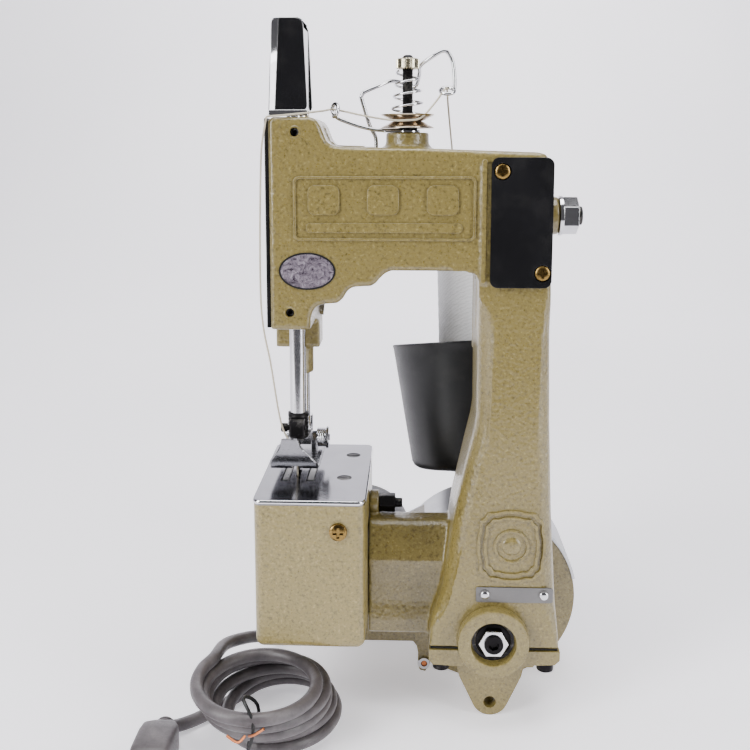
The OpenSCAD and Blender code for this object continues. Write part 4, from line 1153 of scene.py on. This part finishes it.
# ---------------------------------------------------------------- tension unit
def make_tension():
    x, y = -47, 23
    z = 301.0
    prof = [(0, 301)]
    while z < 357.4:
        prof += [(2.55, z), (2.9, z + 0.35), (2.55, z + 0.7)]
        z += 0.8
    prof += [(2.3, 358.2), (1.4, 358.6), (0, 358.6)]
    post = lathe("tension_screw", prof, (x, y, 0), "Z", 40, close=False)
    collar = lathe("tension_collar", [(0, 320.35), (5, 320.35), (5.2, 320.6), (5.2, 321.3), (4.8, 321.6), (0, 321.6)],
                   (x, y, 0), "Z", 48, close=False)
    o = join("tension_post_piece", [post, collar])
    piece(soft(o, 40), "frame", DARK, ("tension_post",))

    def disc(name, flip, z0):
        r = [(3.2, 0), (6, 0.15), (9, 0.9), (11.4, 2.2), (13.3, 3.1), (13.9, 3.25), (13.7, 2.7), (11.7, 1.6),
             (9.3, 0.2), (6.3, -0.6), (3.2, -0.75)]
        if flip:
            r = [(a, -b) for a, b in r]
        return lathe(name, [(a, z0 + b) for a, b in r], (x, y, 0), "Z", 72)
    d = join("tension_discs_piece", [disc("d", True, 324.5), disc("d", False, 325.2)])
    piece(soft(d, 50), "disc_pair", BRONZE, ("tension_discs",))
    s = to_mesh(wire("tension_spring_piece", helix(x, y, 8.4, 5.5, 328.2, 350.4, 3.6, 24), 0.62, 4, smooth=False))
    piece(s, "frame", CHROME, ("tension_spring",))
    # Knurled nut.
    bm = bmesh.new()
    n = 96
    rows = [(4.9, 351.3), (5.7, 351.9), (5.7, 356.3), (4.9, 356.9)]
    rings = []
    for r, zz in rows:
        ring = []
        for k in range(n):
            knurled = r + (0.28 if k % 4 < 2 else -0.12) * (r > 5)
            ring.append(bm.verts.new(P(x + knurled * math.cos(2 * math.pi * k / n),
                                       y + knurled * math.sin(2 * math.pi * k / n), zz)))
        rings.append(ring)
    rings += [[bm.verts.new(P(a, b, zz)) for a, b in ellipse(x, y, 2.95, 2.95, n)] for zz in (356.9, 351.3)]
    bridge(bm, rings, closed=True)
    nut = from_bm("tension_nut_piece", bm, 30)
    piece(nut, "tension_knob", IVORY, ("tension_nut",))


make_tension()


def make_guides():
    pts = [(-63.5, 23, 306), (-63.5, 23, 316), (-66.6, 22.6, 322.5), (-70.6, 21.5, 335.4), (-70.8, 21.2, 337.8),
           (-69, 21, 339.9), (-62, 23, 343), (-56, 27, 345.6), (-51.5, 31.6, 345.6), (-46.5, 33, 343.8),
           (-42.6, 31.6, 343.6), (-41, 30, 349.6), (-40.4, 28.4, 353.6), (-34.6, 26, 357.8), (-28.3, 26, 361),
           (-24.8, 26, 358), (-23.2, 26, 352.7), (-22.6, 26, 345.4)]
    pts += [(-26.3 + 3.6 * math.cos(a), 26 + 3.0 * math.sin(a), 340.6 + 1.8 * math.sin(a))
            for a in (math.radians(12 + 34 * k) for k in range(11))]
    o = to_mesh(wire("thread_guide_piece", catmull(pts, 6), 1.0, 4, smooth=False))
    piece(o, "frame", CHROME, ("thread_guide_wire",))
    pts = [(-52, 20, 320.1), (-59, 18, 320.1), (-65, 16.8, 320.6), (-72, 16, 322.2), (-79, 16, 324.6),
           (-83.6, 16.4, 326.8), (-86, 18.4, 330.5), (-84.6, 17.6, 333.6), (-82.8, 15, 332.6), (-82.6, 12.8, 330),
           (-83.6, 13.2, 327.6), (-85, 15, 327)]
    w = to_mesh(wire("w", catmull(pts, 6), 0.95, 4, smooth=False))
    f = lathe("foot", [(2.95, 319.05), (6.4, 319.05), (6.6, 319.3), (6.6, 320.0), (6.3, 320.3), (2.95, 320.3)],
              (-47, 23, 0), "Z", 48)
    tab = extrude("tab", rounded(-60, 17, -47, 25, 2, 5), 319.1, 320.2, "XY")
    bevel(tab, 0.2, 2)
    g = join("pigtail_piece", [w, f, tab])
    piece(soft(g, 40), "frame", CHROME, ("pigtail_guide",))


make_guides()


def make_springs():
    s = to_mesh(wire("presser_spring_piece", helix(-105, 38, 4.9, 4.9, 251.8, 297.8, 9, 20), 0.55, 4, smooth=False))
    piece(s, "frame", STEEL, ("presser_spring",))
    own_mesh(s)
    # Ribbed adjusting screw with its knob.
    prof = [(4.6, 298.5), (5, 299), (5, 331)]
    z = 331.0
    while z < 351:
        prof += [(5.0, z), (5.5, z + 0.5), (5.5, z + 1.0), (5.0, z + 1.5)]
        z += 2
    prof += [(5.0, 352), (5.9, 352.4), (6.05, 353), (6.05, 358), (5.6, 359), (0, 359.2), (0, 309), (4.6, 309)]
    o = lathe("adjuster_piece", prof, (-105, 38, 0), "Z", 56)
    piece(soft(o, 40), "adjuster", IVORY, ("presser_adjuster",))
    a, b = 32.8, 10.8
    dx, dz = -78, 42 - 51
    L = math.hypot(dx, dz)
    f = math.acos((a - b) / L)
    base = math.atan2(dz, dx)
    around = [base + f + (2 * math.pi - 2 * f) * k / 40 for k in range(41)]
    pts = [(a * math.cos(t), 81, 51 + a * math.sin(t)) for t in around]
    around = [base - f + 2 * f * k / 18 for k in range(19)]
    pts += [(-78 + b * math.cos(t), 81, 42 + b * math.sin(t)) for t in around]
    belt = to_mesh(wire("belt_piece", pts, 2.2, 5, cyclic=True, smooth=False))
    piece(belt, "frame", RUBBER, ("drive_belt",))


make_springs()


# ---------------------------------------------------------------- cup and cone
def make_cup():
    at, tilt, back = (-3.6, 105, 112), -3.6, -12.0
    prof = [(5.1, 0.6), (6.5, 0), (33, 0), (36.5, 0.5), (38.6, 2.0), (39.8, 4.6)]
    for k in range(1, 12):
        f = k / 12
        prof.append((39.8 + 7.9 * f, 4.6 + 71.6 * f))
    prof += [(47.8, 76.4), (48.2, 77.2), (48.1, 78.0), (47.3, 78.4), (46.2, 78.1), (45.7, 77.0), (45.4, 74)]
    for k in range(1, 10):
        f = k / 10
        prof.append((45.4 - 7.8 * f, 74 - 68.6 * f))
    prof += [(37.3, 5.2), (36, 3.6), (33, 3.0), (7, 3.0), (5.1, 2.6)]
    o = lathe("cup_piece", prof, at, "Z", 96, tilt, lean=back)
    piece(soft(o, 50), "frame", BLACK, ("thread_cup",))
    prof = [(5.6, 3.3), (17, 3.3), (19.8, 5.5), (20.7, 9), (20.7, 14)]
    for k in range(1, 60):
        f = k / 60
        prof.append((20.7 - 5.4 * f + 0.10 * math.sin(k * 2.1) + 0.05 * (k % 2), 14 + 146 * f))
    prof += [(15.0, 161), (13.8, 163.6), (11.5, 164.8), (8.6, 165), (8.2, 164.4), (5.6, 164.4)]
    c = lathe("cone_piece", prof, at, "Z", 96, tilt, lean=back)
    piece(soft(c, 50), "cone", THREAD, ("thread_cone",))
    core = lathe("cone_core", [(5.65, 160), (8.1, 160), (8.1, 167.5), (7.6, 168), (5.65, 168)], at, "Z", 64, tilt,
                 lean=back)
    soft(core, 40)
    g = Graph("core_card")
    n = g.noise(500, 4, 0.7)
    card = g.done(g.ramp(n, [(0.3, srgb(150, 120, 84)), (0.7, srgb(186, 158, 118))]), 0.8, g.bump(n, 0.3, 0.0001))
    piece(core, "cone", card)


make_cup()


# ---------------------------------------------------------------- grip
def make_handle():
    bm = bmesh.new()
    n, rings = 40, []
    steps = 64
    for i in range(steps + 1):
        f = i / steps
        x = -107.9 + 87.8 * f
        d = min(x + 108, -20 - x)
        r = 12 * math.sqrt(max(0.0004, 1 - (1 - min(d, 12) / 12) ** 2))
        if d > 14:
            r -= 0.45 * (0.5 - 0.5 * math.cos(2 * math.pi * x / 5.2))
        rings.append([bm.verts.new(P(x, b, c)) for b, c in ellipse(77, 277, r, r, n)])
    bridge(bm, rings)
    bm.faces.new(rings[0][::-1])
    bm.faces.new(rings[-1])
    grip = from_bm("grip", bm)
    cut(grip, block("c", (-84, 60, 276), (-60, 76.5, 290)))
    parts = [grip]
    for x in (-90, -38):
        parts.append(cyl("post", (x, 52.05, 280), (x, 69, 280), 7, 40, 6.4))
    o = join("rear_grip", parts)
    piece(soft(o, 40), "frame", BLACK, ("handle",))


make_handle()


# ---------------------------------------------------------------- thread
def make_thread():
    up = catmull([(-14.2, 140.6, 277), (-18, 110, 292), (-22.6, 66, 317), (-25.6, 36, 334.6), (-26.4, 27, 340.4),
                  (-27.4, 24.6, 341.6), (-33, 21, 334), (-40, 11.5, 326.4), (-47, 9.2, 325), (-56, 11, 325.2),
                  (-70, 13.6, 327.6), (-84.2, 15.4, 330.6), (-90, 11, 329.8), (-97, 3.6, 328.6), (-106, 1, 327.6),
                  (-117.3, -0.4, 326.6)], 6)
    o = to_mesh(wire("thread_upper", up, 0.5, 3, smooth=False))
    piece(o, "frame", STRAND)
    down = catmull([(-117.3, -0.4, 326.6), (-119.2, -1, 316), (-120.2, -1.6, 305), (-121.2, -2, 270),
                    (-121.4, -2, 236), (-120.2, -1, 218), (-117.4, 1, 201), (-114.4, 8, 172), (-112.0, 11.4, 160),
                    (-107, 14.6, 149),
                    (-105.8, 18.4, 132), (-105.5, 20, 121)], 8)
    d = to_mesh(wire("thread_lower", down, 0.5, 3, smooth=False))
    paint(d, STRAND)
    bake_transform(d)


make_thread()


# ---------------------------------------------------------------- small fittings
def make_fittings():
    # The two screws of the head's face plate.
    for k, z in enumerate((321.5, 227.5)):
        s = lathe("face_plate_screw_%d" % k, [(0, -2.1), (2.6, -2.0), (3.1, -1.5), (3.2, -0.2), (0, -0.2)],
                  (-119.2, 26, z), "X", 32, close=False)
        piece(s, "frame", CHROME)
    # Bracket and earth terminal behind the column foot.
    arm = extrude("terminal_arm", [(-42, 28), (-40, 30), (-33, 30), (-31, 27), (-32.6, 14), (-33, 6), (-35, 2.6),
                                   (-38.4, 3.4), (-39.6, 7), (-39.4, 14)], 49, 51.6)
    piece(bevel(arm, 0.4, 2), "frame", OLIVE)
    ring = lathe("terminal_ring", [(1.9, -1.6), (3.4, -1.6), (3.7, -1.1), (3.5, -0.1), (1.9, -0.1)], (-35.8, 49, 8.4),
                 "Y", 40)
    piece(ring, "frame", CHROME)
    core = lathe("terminal_core", [(0, -1.3), (1.4, -1.2), (1.85, -0.6), (1.85, 0.4), (0, 0.4)],
                 (-35.8, 49, 8.4), "Y", 32, close=False)
    piece(core, "frame", COPPER)


make_fittings()


# ---------------------------------------------------------------- stage and light
def make_stage():
    g = Graph("studio_floor")
    n = g.noise(3, 2, 0.5)
    mat = g.done(g.mix(g.grey(n, 0.0, 1.0), srgb(238, 236, 242), srgb(242, 240, 245)), 0.6,
                 g.bump(g.noise(300, 2, 0.5), 0.05, 0.0001), spec=0.15)
    g.bsdf.inputs["Emission Color"].default_value = srgb(242, 240, 246)
    g.bsdf.inputs["Emission Strength"].default_value = 0.58
    bm = bmesh.new()
    # A floor that sweeps up into the backdrop.
    prof = [(-0.62, 0.0), (1.2, 0.0)] + [(1.2 + 0.8 * math.sin(a), 0.8 - 0.8 * math.cos(a)) for a in
                                        (math.radians(90 * k / 12) for k in range(1, 13))] + [(2.0, 3.2)]
    rows = [[bm.verts.new((x, y, z)) for y, z in prof] for x in (-4, 4)]
    for i in range(len(prof) - 1):
        bm.faces.new((rows[0][i], rows[1][i], rows[1][i + 1], rows[0][i + 1]))
    o = from_bm("studio_sweep", bm, 0)
    paint(o, mat)


make_stage()


def area(name, where, at, size, power, color=(1, 1, 1)):
    d = bpy.data.lights.new(name, "AREA")
    d.shape = "RECTANGLE"
    d.size, d.size_y = size
    d.energy = power
    d.color = color
    o = bpy.data.objects.new(name, d)
    bpy.context.scene.collection.objects.link(o)
    o.location = where
    o.rotation_euler = (Vector(at) - Vector(where)).to_track_quat("-Z", "Y").to_euler()


def make_lights():
    world = bpy.data.worlds.new("studio")
    bpy.context.scene.world = world
    world.use_nodes = True
    bg = world.node_tree.nodes["Background"]
    bg.inputs["Color"].default_value = srgb(236, 234, 240)
    bg.inputs["Strength"].default_value = 0.15
    aim = (-0.03, 0, 0.18)
    area("key_left", (-0.95, -0.85, 0.75), aim, (0.42, 1.3), 27)
    area("fill_right", (1.05, -0.7, 0.60), aim, (0.36, 1.3), 17)
    area("top", (0.0, -0.1, 1.35), aim, (1.1, 0.7), 19)
    area("back", (0.1, 1.1, 1.3), (0, 1.9, 0.6), (1.8, 0.8), 26)


make_lights()
